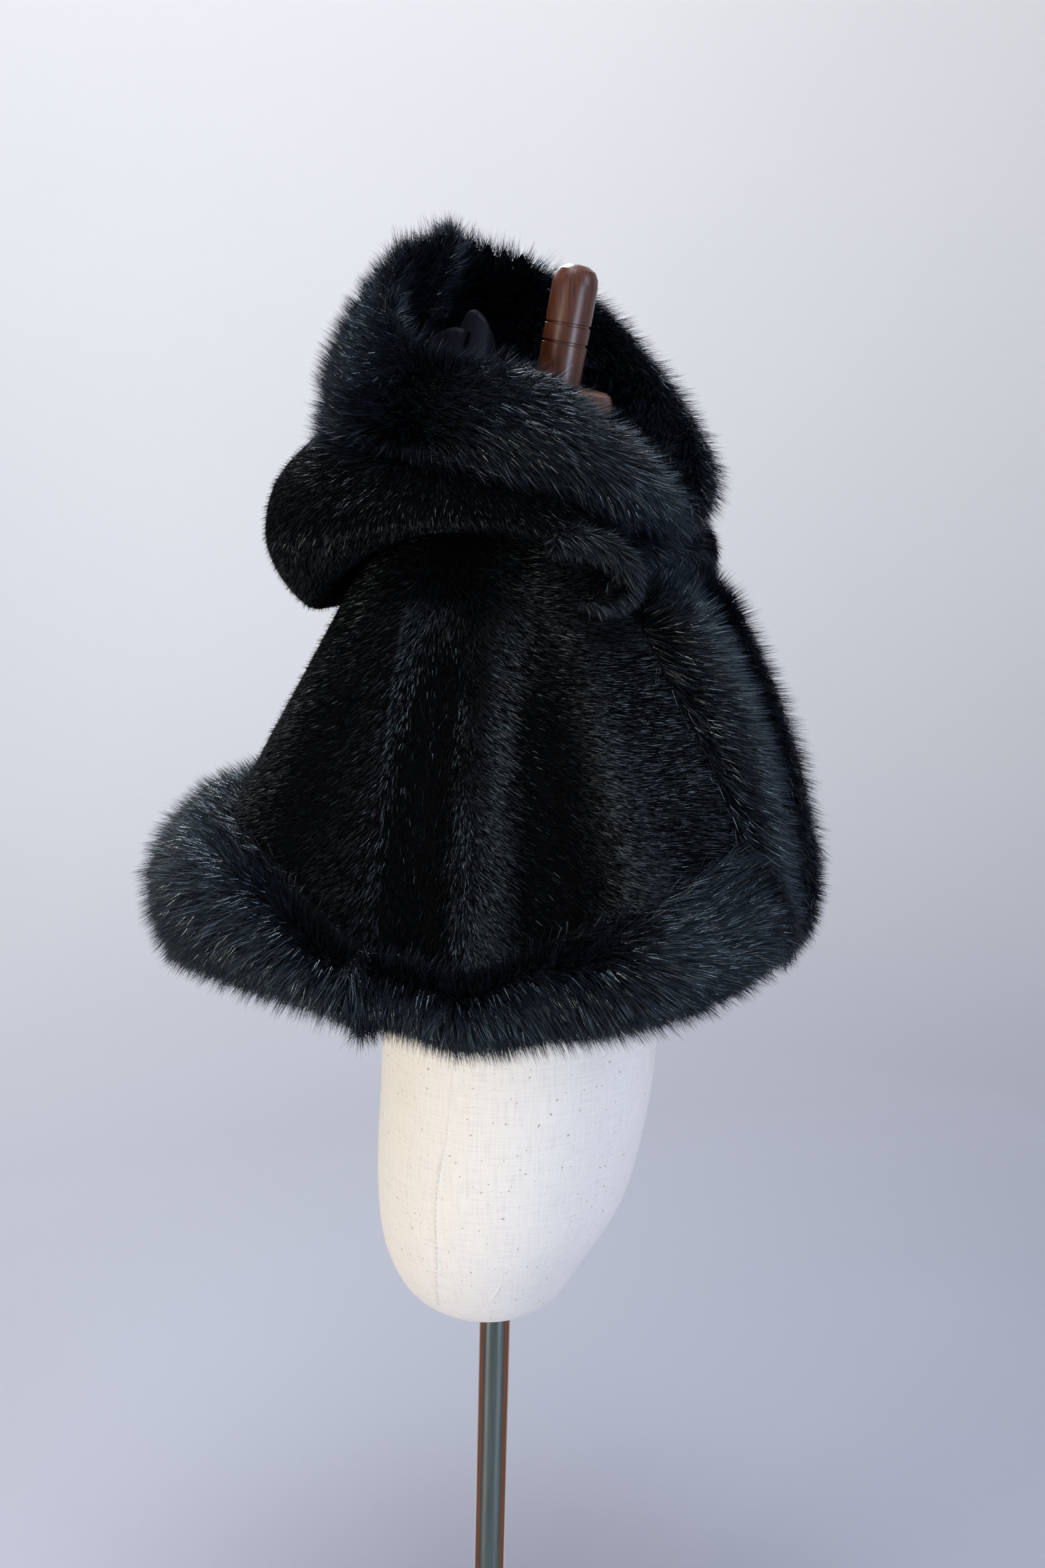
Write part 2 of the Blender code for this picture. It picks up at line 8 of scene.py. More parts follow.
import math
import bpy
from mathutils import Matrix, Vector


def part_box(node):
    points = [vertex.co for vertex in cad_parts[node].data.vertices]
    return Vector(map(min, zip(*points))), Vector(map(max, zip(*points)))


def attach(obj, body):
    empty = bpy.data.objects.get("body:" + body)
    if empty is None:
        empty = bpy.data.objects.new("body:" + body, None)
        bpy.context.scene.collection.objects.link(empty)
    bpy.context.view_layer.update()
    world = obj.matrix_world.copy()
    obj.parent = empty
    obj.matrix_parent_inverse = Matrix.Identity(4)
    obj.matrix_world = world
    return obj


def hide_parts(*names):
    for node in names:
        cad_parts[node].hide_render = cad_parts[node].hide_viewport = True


bl_info = {
    "name": "Fur cape on a dress form",
    "version": (1, 0, 0),
    "blender": (4, 5, 0),
    "location": "View3D > Sidebar > Cape",
    "description": "Dresses a hooded fur cape and its form: pile, satin, linen, turned wood and chrome",
    "category": "Object",
}

from collections import namedtuple

import bmesh
import bpy
import numpy as np
from mathutils import Matrix, Vector, kdtree
from mathutils.bvhtree import BVHTree

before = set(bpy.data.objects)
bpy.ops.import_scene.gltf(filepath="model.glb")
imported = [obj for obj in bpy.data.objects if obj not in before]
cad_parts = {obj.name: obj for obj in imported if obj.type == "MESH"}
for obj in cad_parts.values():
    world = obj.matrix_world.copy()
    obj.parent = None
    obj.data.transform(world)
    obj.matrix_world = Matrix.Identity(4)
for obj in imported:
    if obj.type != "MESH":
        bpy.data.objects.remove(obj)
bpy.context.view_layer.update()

MM = 0.001
BODY = "root"

# Angles round the pole are folded, so they serve both sides: 0 front, 90 the sides, 180 the back.
# A nap row is an angle and which way the hairs lie there: towards the front, down, and out from the pole.
# A fur's nap is its rows at one height, and at another where it turns on the way.
Lie = namedtuple("Lie", "height rows")

BODY_NAP = (
    Lie(700 * MM, (
        (0, 1.0, 0.3, 0.0), (35, 1.0, 0.3, 0.0), (50, 0.9, 0.5, 0.0), (72, 0.55, 0.85, 0.0),
        (88, 0.0, 1.0, 0.0), (100, -0.5, 0.85, 0.0), (130, -0.8, 0.7, 0.0), (165, -0.3, 1.0, 0.0),
        (180, 0.0, 1.0, 0.0),
    )),
    Lie(790 * MM, (
        (0, 1.0, 0.4, 0.0), (35, 1.0, 0.2, 0.0), (50, 0.95, 0.35, 0.0), (72, 0.75, 0.65, 0.0),
        (88, 0.1, 1.0, 0.0), (100, -0.5, 0.85, 0.0), (130, -0.8, 0.65, 0.0), (165, -0.3, 1.0, 0.0),
        (180, 0.0, 1.0, 0.0),
    )),
)
HOOD_NAP = (
    Lie(900 * MM, (
        (0, 0.5, 0.8, 0.1), (60, 0.6, 0.9, 0.1), (100, -0.1, 1.0, 0.1), (130, -0.5, 0.9, 0.1),
        (180, 0.0, 1.0, 0.2),
    )),
)
HEM_NAP = (
    Lie(650 * MM, (
        (0, 1.0, 0.3, 0.3), (25, 1.0, 0.5, 0.3), (50, 0.6, 0.9, 0.3), (75, 0.3, 1.0, 0.3),
        (88, 0.05, 1.0, 0.3), (100, -0.2, 1.0, 0.3), (135, -0.6, 0.9, 0.5), (180, 0.0, 0.9, 0.6),
    )),
    Lie(715 * MM, (
        (0, 1.0, 0.0, 0.3), (25, 1.0, -0.8, 0.3), (45, 0.9, 0.2, 0.3), (75, 0.3, 1.0, 0.3),
        (88, 0.05, 1.0, 0.3), (100, -0.3, 1.0, 0.3), (135, -0.8, 0.7, 0.5), (180, 0.0, 0.9, 0.6),
    )),
)
FRONT_NAP = (
    Lie(720 * MM, ((0, 0.8, 0.8, 0.3), (40, 0.7, 0.9, 0.2))),
    Lie(850 * MM, ((0, 0.9, 0.4, 0.3), (40, 1.0, 0.3, 0.2))),
    Lie(885 * MM, ((0, 0.2, -0.9, 0.3), (40, 0.4, -0.8, 0.3))),
)
HOOD_TRIM_NAP = (
    Lie(1000 * MM, (
        (0, 0.3, 1.0, 0.3), (30, 0.7, 0.8, 0.3), (80, 1.0, 0.25, 0.3), (105, 0.2, 0.0, 0.9),
        (130, -0.3, -0.5, 0.8), (160, 0.0, -0.9, 0.5), (180, 0.0, -0.9, 0.5),
    )),
)

# A coat is one kind of hair of a fur: its share of the piece's hairs, then in millimetres how far it lies
# along the cloth, its width at the root, how deep its roots go and how far its tips rise past the face, then
# hairs in a lock, how far a lock draws its tips together, how many degrees hairs turn about their own
# length, and the hair itself.
Coat = namedtuple("Coat", "share lay width root rise lock pull roll hair")

# Each hair's roughness, specular level and black: dull hair below, guard hairs of the short and long pile,
# and the glossy tips that lie on the long pile.
UNDER, SHORT, LONG, TIP = "dull_under_hair", "short_guard_hair", "long_guard_hair", "glossy_hair_tip"
HAIR_GLOSS = {
    UNDER: (0.7, 0.04, "black"),
    SHORT: (0.36, 0.5, "short_black"),
    LONG: (0.3, 0.42, "long_black"),
    TIP: (0.24, 0.8, "black"),
}


def short_coats(guard):
    """Coats of the short pile, with a share of guard hairs and a few that stand out as fuzz."""
    return (
        Coat(0.89 - guard, 4.6, 0.6, 2.6, -0.2, 5, 0.2, 35, UNDER),
        Coat(guard, 5.4, 0.5, 2.6, 0.0, 4, 0.2, 32, SHORT),
        Coat(0.11, 3.2, 0.45, 2.6, 3.2, 3, 0.4, 60, UNDER),
    )


CURL_COATS = (
    Coat(0.3, 6, 0.6, 2.6, 0.0, 5, 0.2, 35, UNDER),
    Coat(0.5, 9, 0.5, 2.6, 1, 6, 0.4, 40, SHORT),
    Coat(0.2, 8, 0.5, 2.6, 5, 6, 0.5, 60, SHORT),
)
LONG_COATS = (
    Coat(0.28, 14, 0.6, 14, -1.5, 5, 0.2, 40, UNDER),
    Coat(0.36, 19, 0.48, 9, 0.0, 12, 0.5, 40, LONG),
    Coat(0.15, 8, 0.45, 2, 2, 3, 0.35, 35, TIP),
    Coat(0.21, 15, 0.55, 9, 11, 10, 0.6, 60, LONG),
)

# A panel of short pile: its hairs, the share of guard hairs, how many of those stay where it doesn't roll
# under, its nap, and its flat cut's size and area.
Panel = namedtuple("Panel", "hairs guard level nap flat area")
# The back's and the hood's low shares of guard hairs are painted shade: they keep these panels darker than
# the fronts.
PANELS = {
    "body_back": Panel(100000, 0.2, 1.0, BODY_NAP, (0.56, 0.32), 0.09),
    "body_front_right": Panel(60000, 0.5, 1.0, BODY_NAP, (0.30, 0.30), 0.045),
    "body_front_left": Panel(60000, 0.5, 1.0, BODY_NAP, (0.30, 0.30), 0.045),
    "hood_right": Panel(62000, 0.15, 0.25, HOOD_NAP, (0.34, 0.36), 0.047),
    "hood_left": Panel(62000, 0.15, 0.25, HOOD_NAP, (0.34, 0.36), 0.047),
}

# A band of long pile: its hairs, nap, how far they lean off its seams, how many guard hairs there are at
# the seams, how many hairs there are on the side next to the form, the pieces it is sewn to or meets, and
# its cut before it was folded.
Band = namedtuple("Band", "hairs nap lean edge inner sewn_to flat")
BANDS = {
    "hem_trim_back": Band(
        120000, HEM_NAP, 0.35, 0.7, 0.45, ("body_back", "hem_trim_right", "hem_trim_left"), (0.19, 0.63)),
    "hem_trim_right": Band(
        62000, HEM_NAP, 0.35, 0.7, 0.45, ("body_front_right", "hem_trim_back", "front_trim_right"),
        (0.17, 0.23)),
    "hem_trim_left": Band(
        62000, HEM_NAP, 0.35, 0.7, 0.45, ("body_front_left", "hem_trim_back", "front_trim_left"),
        (0.17, 0.23)),
    "front_trim_right": Band(
        36000, FRONT_NAP, 0.3, 0.4, 0.45,
        ("body_front_right", "hem_trim_right", "hood_right", "front_trim_left"), (0.115, 0.25)),
    "front_trim_left": Band(
        36000, FRONT_NAP, 0.3, 0.4, 0.45,
        ("body_front_left", "hem_trim_left", "hood_left", "front_trim_right"), (0.115, 0.25)),
    "hood_trim_right": Band(
        90000, HOOD_TRIM_NAP, -0.9, 0.8, 1.0, ("hood_right", "hood_trim_left"), (0.16, 0.34)),
    "hood_trim_left": Band(
        95000, HOOD_TRIM_NAP, -0.9, 0.8, 1.0, ("hood_left", "hood_trim_right"), (0.19, 0.35)),
}

# A roll is a plump fold of fur: its centre line and radius on the right in millimetres, how deep its cloth
# lies, its hairs, nap, coats, slot and seed. The hood's edge curls in at the front, and the long pile of the
# hood's and the fronts' trims meets over the neck seam.
Roll = namedtuple("Roll", "rows sink hairs nap coats slot seed")
CURL = Roll((
    (-104, -70, 912, 9), (-92, -86, 910, 10), (-80, -97, 905, 10), (-71, -104, 896, 9.5), (-68, -105, 886, 9),
    (-75, -101, 878, 8), (-87, -93, 876, 6), (-96, -86, 878, 3),
), 2.8 * MM, 7000, HOOD_NAP, CURL_COATS, "short_fur", 40)
NECK_ROLL = Roll((
    (-1, -104, 901, 11), (-16, -104, 902, 11), (-31, -101, 905, 12), (-44, -93, 907, 11), (-54, -84, 909, 7),
), 3 * MM, 5000, HOOD_TRIM_NAP, LONG_COATS, "long_fur", 41)
ROLLED = {
    "hood_right": (CURL, 1), "hood_left": (CURL, -1),
    "front_trim_right": (NECK_ROLL, 1), "front_trim_left": (NECK_ROLL, -1),
}

# The loose edge of the lining stands up in a ruffle: its top edge in millimetres, how far it falls, its rows
# of points as shares of that fall, and how deep its foot is sunk in the lining.
RUFFLE = (
    (-63, 34, 1015), (-63, 28, 1022), (-63, 20, 1027), (-63, 11, 1029), (-63, 4, 1027), (-57, 4, 1026),
    (-49, 10, 1031), (-46, 14, 1035), (-46, 12, 1039), (-49, 5, 1040), (-52, -3, 1035), (-54, -9, 1026),
    (-53, -11, 1017), (-52, -10, 1008),
)
RUFFLE_FALL = 42 * MM
RUFFLE_ROWS = (0.0, 0.2, 0.5, 1.0)
RUFFLE_SUNK = 1 * MM
SATIN_WALL = 0.8 * MM

# A solid's outer and inner faces meet at edges sharper than the rim's angle, and its own folds are softer.
# Triangles that meet at less than the quad angle are joined, and so are points within the weld.
RIM_ANGLE = math.radians(55)
QUAD_ANGLE = math.radians(40)
WELD = 0.02 * MM
NO_LENGTH = 1e-9

# A band's cloth closes on the pieces it is sewn to, and swells up to a share of the band's thickness where
# the seams fade out. Points that look at the form more than INNER_SIDE says are on the band's inner side.
SEWN_REACH = 2.2 * MM
SEAM_FADE = 16 * MM
SEAM_SWELL = 0.7
SEAM_CLOSING = 1.1 * MM
SEAM_ALLOWANCE = 3 * MM
BAND_CORE_SHARE = 0.38
BAND_CORE_MOST = 22 * MM
BELOW_FACE = 0.3 * MM
INNER_SIDE = -0.3
BACKING_WALL = 1.4 * MM

# Steps between the rows of a roll, and the seed of the first band.
ROLL_STEPS = 6
TRIM_SEED = 20

# Guard hairs, paler and glossier than the rest, grow thick on the crests of folds and few in the troughs,
# which stay black: a painted sheen on the crests and painted shade in the troughs.
# A panel that rolls under has them all again once its face looks down by one over UNDER_ROLL: a painted
# highlight along the lower edge of the hood's roll.
RELIEF_ROUNDS = 60
RELIEF_HEIGHT = 3 * MM
CREST_FROM = 0.75
CREST_OVER = 1.3
LEAST_GUARD = 0.015
UNDER_ROLL = 2

# How far single hairs differ in lay, rise, sunken tip, width and pull to their lock, as shares, and how far
# hairs of a lock stay apart. Locks lie uneven by a drift in waves over the cloth, and single hairs stray.
LAY_RANGE = (0.6, 1.15)
RISE_RANGE = (0.3, 1.2)
SINK_RANGE = (0.0, 0.25)
WIDTH_RANGE = (0.6, 1.25)
PULL_RANGE = (0.3, 1.0)
LOCK_SPREAD = 0.3
DRIFT_LENGTH = 45 * MM
DRIFT_WAVES = 5
DRIFT_PHASES = (0, 6.28)
DRIFT_SHARE = 0.1
STRAY_SHARE = 0.1

# Turned profiles: radius and height above the piece's foot, as in the part's own solids.
NECK_CAP = ((0, 0), (31, 0), (34, 1.6), (35.5, 5), (35.5, 9.5), (34, 13), (31, 14.7), (0, 14.7))
FINIAL = (
    (0, 0), (13.4, 0), (14, 0.7), (14, 24), (13, 24.4), (13, 25.6), (14, 26), (14, 35.1), (13, 35.5),
    (13, 36.7), (14, 37.1), (14, 59), (13.3, 64), (11, 68.2), (6.5, 70.7), (0, 71.5),
)
BASE_PLATE = (
    (0, 0), (168, 0), (170, 2), (170, 8), (168, 10), (28, 12), (24, 14), (22, 24), (20, 26), (0, 26),
)
CAP_LEAN = math.radians(9.6)
CAP_FOOT = Vector((0, -25.1, 983.4)) * MM
FINIAL_FOOT = CAP_FOOT + Matrix.Rotation(CAP_LEAN, 3, "X") @ Vector((0, 0, 15.0 * MM))
TURNED_STEPS = 96
SHARP_ANGLE = math.radians(32)

# The form's side seams, and the dart beside the pole, as rows of height in millimetres and angle. The linen
# is laid out at the form's radius, and rays at the form start outside it.
SIDE_SEAM = (
    (640, 80), (590, 81), (560, 82), (540, 83), (525, 85), (505, 87), (485, 88), (460, 89), (445, 90),
    (415, 95), (392, 102),
)
DART = ((440, 60), (435, 62), (423, 65), (410, 69), (398, 75))
FORM_RADIUS = 100 * MM
OUTSIDE_FORM = 0.4

# A seam's welt: its radius at the sides and the darts, the share of it that is sunk, and how it thickens
# from its ends, step by step. Stitches run between two heights in millimetres, and each has half sizes
# along, across and up, and a lift off the cover.
SIDE_WELT = 0.7 * MM
DART_WELT = 0.8 * MM
WELT_STEP = 3 * MM
WELT_SUNK = 0.45
WELT_END = 0.15
WELT_GROWTH = 0.2
SIDE_STITCHES = (530, 400)
STITCH = (1.5 * MM, 0.55 * MM, 0.5 * MM)
STITCH_LIFT = 0.55 * MM

# The photograph's camera.
PHOTO_HEIGHT = 2352
FOCAL_PIXELS = 2500
SENSOR = 36.0
CAMERA_PLACE = Vector((-967.0, -441.5, 976.0)) * MM
CAMERA_HEADING = Vector((0.9135, 0.4067, 0)).normalized()
CAMERA_RIGHT = CAMERA_HEADING.cross(Vector((0, 0, 1)))
CAMERA_TURN = math.atan2(CAMERA_HEADING.y, CAMERA_HEADING.x)
CAMERA_PITCH = math.radians(12.3)
CAMERA_ROLL = math.radians(1.43)

# A lamp's aim on the pole as a height, its angle round the pole on the wearer's right and rise in degrees,
# its distance, size, colour, and its beam's spread in degrees.
Lamp = namedtuple("Lamp", "height angle rise distance size colour spread")
LAMPS = {
    "key": Lamp(0.85, 95, 78, 2.0, 1.4, "#EEF5FF", 180),
    "front": Lamp(0.5, 28, 6, 1.9, 0.7, "#DFE9FF", 100),
    "window": Lamp(0.5, 114, 6, 1.9, 0.7, "#FFF0D8", 100),
    "fill": Lamp(0.85, 6, 22, 2.0, 0.9, "#D4E2FF", 180),
    "far": Lamp(0.85, 232, 36, 2.1, 1.0, "#F4F8FF", 60),
}
# The lit spot on the wall, as the camera sees it: behind the object, left of it and up. Its lamp hangs
# before it and over it.
WALL_AWAY = 4.0
WALL_LEFT = 0.6
WALL_RISE = 1.75
WALL_LAMP_BEFORE = 2.8
WALL_LAMP_OVER = 1.4
WALL_LAMP_SIZE = 1.6

# The bend from the floor up to the wall, and the glowing card that only reflections meet: a painted
# reflection of a room's floor in the chrome.
COVE_BEND = 2.0
COVE_STEPS = 16
MIRROR_RADIUS = 1.5
MIRROR_LIFT = 2 * MM


def srgb(hex_value):
    """A linear colour from an sRGB hex value such as #808080."""
    channels = [int(hex_value[start:start + 2], 16) / 255 for start in (1, 3, 5)]
    return tuple(c / 12.92 if c <= 0.04045 else ((c + 0.055) / 1.055) ** 2.4 for c in channels)


def per(millimetres):
    """The texture scale whose pattern repeats about every so many millimetres."""
    return 1 / (millimetres * MM)


def colour_setting(name, description, hex_value):
    """A colour property."""
    return bpy.props.FloatVectorProperty(
        name=name, description=description, subtype="COLOR", default=srgb(hex_value))


def length_setting(name, description, metres):
    """A length property."""
    return bpy.props.FloatProperty(name=name, description=description, default=metres, unit="LENGTH")


def power_setting(name, description, watts):
    """A lamp's power as a property."""
    return bpy.props.FloatProperty(name=name, description=description, default=watts, unit="POWER")


class CapeFurSettings(bpy.types.PropertyGroup):
    """Sizes and colours of the cape's fur and lining"""

    short_sink: length_setting(
        "Short pile depth", "From the tips of the short pile down to its backing", 2.8 * MM)
    black: colour_setting("Black under hair", "Most of the hairs", "#030406")
    short_black: colour_setting("Short guard hair", "Hairs on the crests of the short pile", "#0A0D11")
    long_black: colour_setting("Long guard hair", "Outer hairs of the trims", "#121820")
    brown: colour_setting("Brown-black hairs", "The warmer hairs", "#090607")
    slate: colour_setting("Slate hairs", "The few paler hairs", "#20252A")
    satin: colour_setting("Satin", "Lining of the hood", "#0C0E11")


class CapeStandSettings(bpy.types.PropertyGroup):
    """Sizes and colours of the dress form and its stand"""

    linen: colour_setting("Linen", "Cover of the form", "#F2EEE6")
    fleck: colour_setting("Flecks", "Husk flecks in the linen", "#8E7F66")
    wood_dark: colour_setting("Dark wood", "Grain of the cap and finial", "#2C150D")
    wood_light: colour_setting("Light wood", "Wood between the grain", "#623119")
    stitch_pitch: length_setting("Stitch pitch", "From one stitch of the side seam to the next", 4.2 * MM)


class CapeStageSettings(bpy.types.PropertyGroup):
    """The studio round the object"""

    backdrop: colour_setting("Backdrop", "Paint of the floor and wall", "#EDEDED")
    # The backdrop's darker colour low and at the right is painted shade: the room's light falling off, and a
    # soft shadow.
    backdrop_painted_shade: colour_setting(
        "Backdrop near the foot", "Paint low at the right, where the room's light fades", "#83869A")
    floor_radius: length_setting("Floor", "Flat floor before it curves up", 1.8)
    wall_height: length_setting("Wall", "Height of the wall above the curve", 2.2)
    key_power: power_setting("Key light", "Light from overhead", 52)
    front_power: power_setting("Front light", "Low cool light on the form, from beside the camera", 4.2)
    window_power: power_setting("Window light", "Low warm light on the form, from the picture's left", 6.0)
    fill_power: power_setting("Fill light", "Cool light from the picture's right", 8)
    wall_power: power_setting("Wall light", "Light on the wall behind", 54)
    far_power: power_setting("Far light", "Light from behind, on the sides away from the camera", 5)
    room_strength: bpy.props.FloatProperty(
        name="Room light", description="Even light from all round", default=0.14)


def new_material(name, values):
    """A new material, its node tree and its surface shader's sockets, some of them set to values."""
    material = bpy.data.materials.new(name)
    material.use_nodes = True
    sockets = material.node_tree.nodes["Principled BSDF"].inputs
    for socket, value in values.items():
        sockets[socket].default_value = value
    return material, material.node_tree, sockets


def node(tree, kind, values=None, links=None, feeds=None, stops=(), **settings):
    """Adds a shader node with its settings and values, links it to sources and targets, gives its outputs.

    A ramp's stops are pairs of place and linear colour.
    """
    made = tree.nodes.new("ShaderNode" + kind)
    for key, value in settings.items():
        setattr(made, key, value)
    for socket, value in (values or {}).items():
        made.inputs[socket].default_value = value
    for socket, source in (links or {}).items():
        tree.links.new(source, made.inputs[socket])
    for socket, target in (feeds or {}).items():
        tree.links.new(made.outputs[socket], target)
    if stops:
        elements = made.color_ramp.elements
        while len(elements) < len(stops):
            elements.new(1.0)
        for element, (place, colour) in zip(elements, stops):
            element.position = place
            element.color = (*colour, 1.0)
    return made.outputs


def streaks(tree, source, stretch, values, lean=0.0):
    """The factor of a noise that is drawn out along an axis, which may lean."""
    run = node(
        tree, "Mapping", values={"Rotation": (-lean, 0, 0), "Scale": stretch}, links={"Vector": source})
    return node(tree, "TexNoise", values=values, links={"Vector": run["Vector"]})["Fac"]


def drive(tree, sockets, pattern, ramps, bump=()):
    """Drives sockets from a pattern through ramps, and the normal by a bump of a strength and height."""
    for socket, stops in ramps.items():
        node(tree, "ValToRGB", links={"Fac": pattern}, feeds={"Color": sockets[socket]}, stops=stops)
    if bump:
        node(
            tree, "Bump", values=dict(zip(("Strength", "Distance"), bump)), links={"Height": pattern},
            feeds={"Normal": sockets["Normal"]})


def grey(value):
    """A neutral linear colour."""
    return (value, value, value)


def hair_material(name, roughness, specular, black):
    """Modacrylic hair: round black fibres, smooth with cool glints as guard hair, dull and fine below."""
    fur = bpy.context.scene.cape_fur
    most = getattr(fur, black)
    material, tree, sockets = new_material(name, {
        "IOR": 1.55, "Specular IOR Level": specular, "Specular Tint": (*srgb("#CFE4EF"), 1.0)})
    strand = node(tree, "UVMap", uv_map="strand")
    parts = node(tree, "SeparateXYZ", links={"Vector": strand["UV"]})
    tone = node(
        tree, "ValToRGB", links={"Fac": parts["X"]},
        stops=((0.0, most), (0.78, most), (0.84, fur.brown), (0.95, fur.brown), (0.985, fur.slate)))
    # Along each hair the colour runs from dark at the root to pale at the tip: painted shade at the roots and
    # painted light on the tips.
    length = node(
        tree, "ValToRGB", links={"Fac": parts["Y"]},
        stops=((0.0, grey(0.35)), (0.5, grey(0.9)), (1.0, grey(3.4))))
    node(
        tree, "Mix", values={0: 1.0}, links={6: tone["Color"], 7: length["Color"]},
        feeds={2: sockets["Base Color"]}, data_type="RGBA", blend_type="MULTIPLY")
    drive(tree, sockets, parts["X"], {"Roughness": ((0.0, grey(roughness * 1.3)), (0.6, grey(roughness)))})
    return material


def backing_material():
    """Knitted polyester ground of the fur, dull black, seen only between the hairs."""
    black = bpy.context.scene.cape_fur.black
    material, tree, sockets = new_material(
        "knitted_fur_ground", {"Roughness": 0.9, "Specular IOR Level": 0.05})
    place = node(tree, "TexCoord")["Object"]
    knit = node(tree, "TexNoise", values={"Scale": per(2.0), "Detail": 3.0}, links={"Vector": place})
    drive(tree, sockets, knit["Fac"], {"Base Color": ((0.3, grey(0.0015)), (0.7, black))}, (0.5, 0.5 * MM))
    return material


def satin_material():
    """Black polyester satin: long floats of thread, so broad soft highlights and a fine cross line."""
    fur = bpy.context.scene.cape_fur
    material, tree, sockets = new_material("black_satin", {
        "Specular IOR Level": 0.06, "Specular Tint": (*srgb("#B6BEE4"), 1.0)})
    place = node(tree, "TexCoord")["Object"]
    floats = streaks(tree, place, (1.0, 1.0, 0.12), {"Scale": per(1.2), "Detail": 2.0})
    drive(tree, sockets, floats, {
        "Base Color": ((0.3, fur.black), (0.7, fur.satin)),
        "Roughness": ((0.3, grey(0.4)), (0.7, grey(0.55))),
    }, (0.25, 0.3 * MM))
    return material


def linen_material():
    """Plain-woven slub linen, cream: uneven threads both ways and small brown husk flecks."""
    stand = bpy.context.scene.cape_stand
    cream = Vector(stand.linen)
    material, tree, sockets = new_material("slub_linen", {"Roughness": 0.92, "Sheen Weight": 0.15})
    cloth = node(tree, "UVMap", uv_map="cloth")["UV"]
    # Real threads stand 0.5 mm apart. They are drawn 1.2 mm apart so that they show.
    threads = [
        streaks(tree, cloth, stretch, {"Scale": per(1.2), "Detail": 2.0, "Roughness": 0.6})
        for stretch in ((0.05, 1.0, 1.0), (1.0, 0.05, 1.0))
    ]
    weave = node(tree, "Mix", values={0: 0.5}, links={2: threads[0], 3: threads[1]})[0]
    yarn = node(
        tree, "ValToRGB", links={"Fac": weave},
        stops=((0.36, cream * 0.88), (0.47, cream * 0.98), (0.6, cream * 1.02)))
    specks = node(tree, "TexNoise", values={"Scale": per(3.2), "Detail": 1.0}, links={"Vector": cloth})
    mask = node(
        tree, "ValToRGB", links={"Fac": specks["Fac"]}, stops=((0.71, grey(0.0)), (0.75, grey(0.7))))
    node(
        tree, "Mix", data_type="RGBA", values={7: (*stand.fleck, 1.0)},
        links={0: mask["Color"], 6: yarn["Color"]}, feeds={2: sockets["Base Color"]})
    drive(tree, sockets, weave, {}, (0.55, 0.5 * MM))
    return material


def thread_material():
    """Cotton sewing thread, off-white, twisted: matt with a fine uneven tone."""
    cream = Vector(bpy.context.scene.cape_stand.linen)
    material, tree, sockets = new_material("cotton_thread", {"Roughness": 0.8})
    place = node(tree, "TexCoord")["Object"]
    twist = node(tree, "TexNoise", values={"Scale": per(0.6)}, links={"Vector": place})
    drive(tree, sockets, twist["Fac"], {"Base Color": ((0.3, cream * 0.8), (0.7, cream * 1.05))})
    return material


def wood_material():
    """Turned hardwood, stained reddish brown and wax polished: fine grain along the axis, soft gloss."""
    stand = bpy.context.scene.cape_stand
    material, tree, sockets = new_material(
        "stained_turned_wood", {"Coat Weight": 0.25, "Coat Roughness": 0.25})
    place = node(tree, "TexCoord")["Object"]
    along = (1.0, 1.0, 0.07)
    grain = streaks(tree, place, along, {"Scale": per(1.6), "Detail": 6.0, "Roughness": 0.65}, CAP_LEAN)
    cloud = streaks(tree, place, along, {"Scale": per(14)}, CAP_LEAN)
    mixed = node(tree, "Math", operation="MULTIPLY_ADD", values={1: 0.5}, links={0: cloud, 2: grain})
    drive(tree, sockets, mixed[0], {"Base Color": ((0.52, stand.wood_dark), (0.98, stand.wood_light))})
    drive(tree, sockets, grain, {"Roughness": ((0.3, grey(0.3)), (0.7, grey(0.44)))}, (0.25, 0.2 * MM))
    return material


def metal_material(name, pale, dark, streak, least, most):
    """Plated or brushed steel: a streaked metal whose gloss runs between least and most roughness."""
    material, tree, sockets = new_material(name, {"Metallic": 1.0})
    place = node(tree, "TexCoord")["Object"]
    lines = streaks(tree, place, streak, {"Scale": per(2.0), "Detail": 4.0})
    drive(tree, sockets, lines, {
        "Base Color": ((0.3, srgb(dark)), (0.7, srgb(pale))),
        "Roughness": ((0.3, grey(least)), (0.7, grey(most))),
    })
    return material


def backdrop_material():
    """Matt emulsion paint on a studio cove, slightly mottled, darker towards the foot and the right: painted
    shade where the room's light falls off, and a soft painted shadow at the right.
    """
    stage = bpy.context.scene.cape_stage
    material, tree, sockets = new_material("matt_cove_paint", {"Roughness": 0.95})
    place = node(tree, "TexCoord")["Object"]
    mottle = node(tree, "TexNoise", values={"Scale": per(900), "Detail": 2.0}, links={"Vector": place})
    across = node(tree, "Mapping", values={"Rotation": (0, 0, -CAMERA_TURN)}, links={"Vector": place})
    parts = node(tree, "SeparateXYZ", links={"Vector": across["Vector"]})
    side = node(
        tree, "MapRange", values={"From Min": 0.9, "From Max": -1.3, "To Min": 0.55},
        links={"Value": parts["Y"]})
    reach = node(tree, "VectorMath", operation="LENGTH", links={0: place})
    near = node(
        tree, "MapRange", values={"From Min": 4.6, "From Max": 0.3}, links={"Value": reach["Value"]})
    corner = node(tree, "Math", operation="MULTIPLY", links={0: side["Result"], 1: near["Result"]})
    fade = node(
        tree, "Math", operation="MULTIPLY_ADD", values={1: 0.06}, links={0: mottle["Fac"], 2: corner[0]})
    drive(tree, sockets, fade[0], {"Base Color": ((0.0, stage.backdrop), (1.0, stage.backdrop_painted_shade))})
    return material


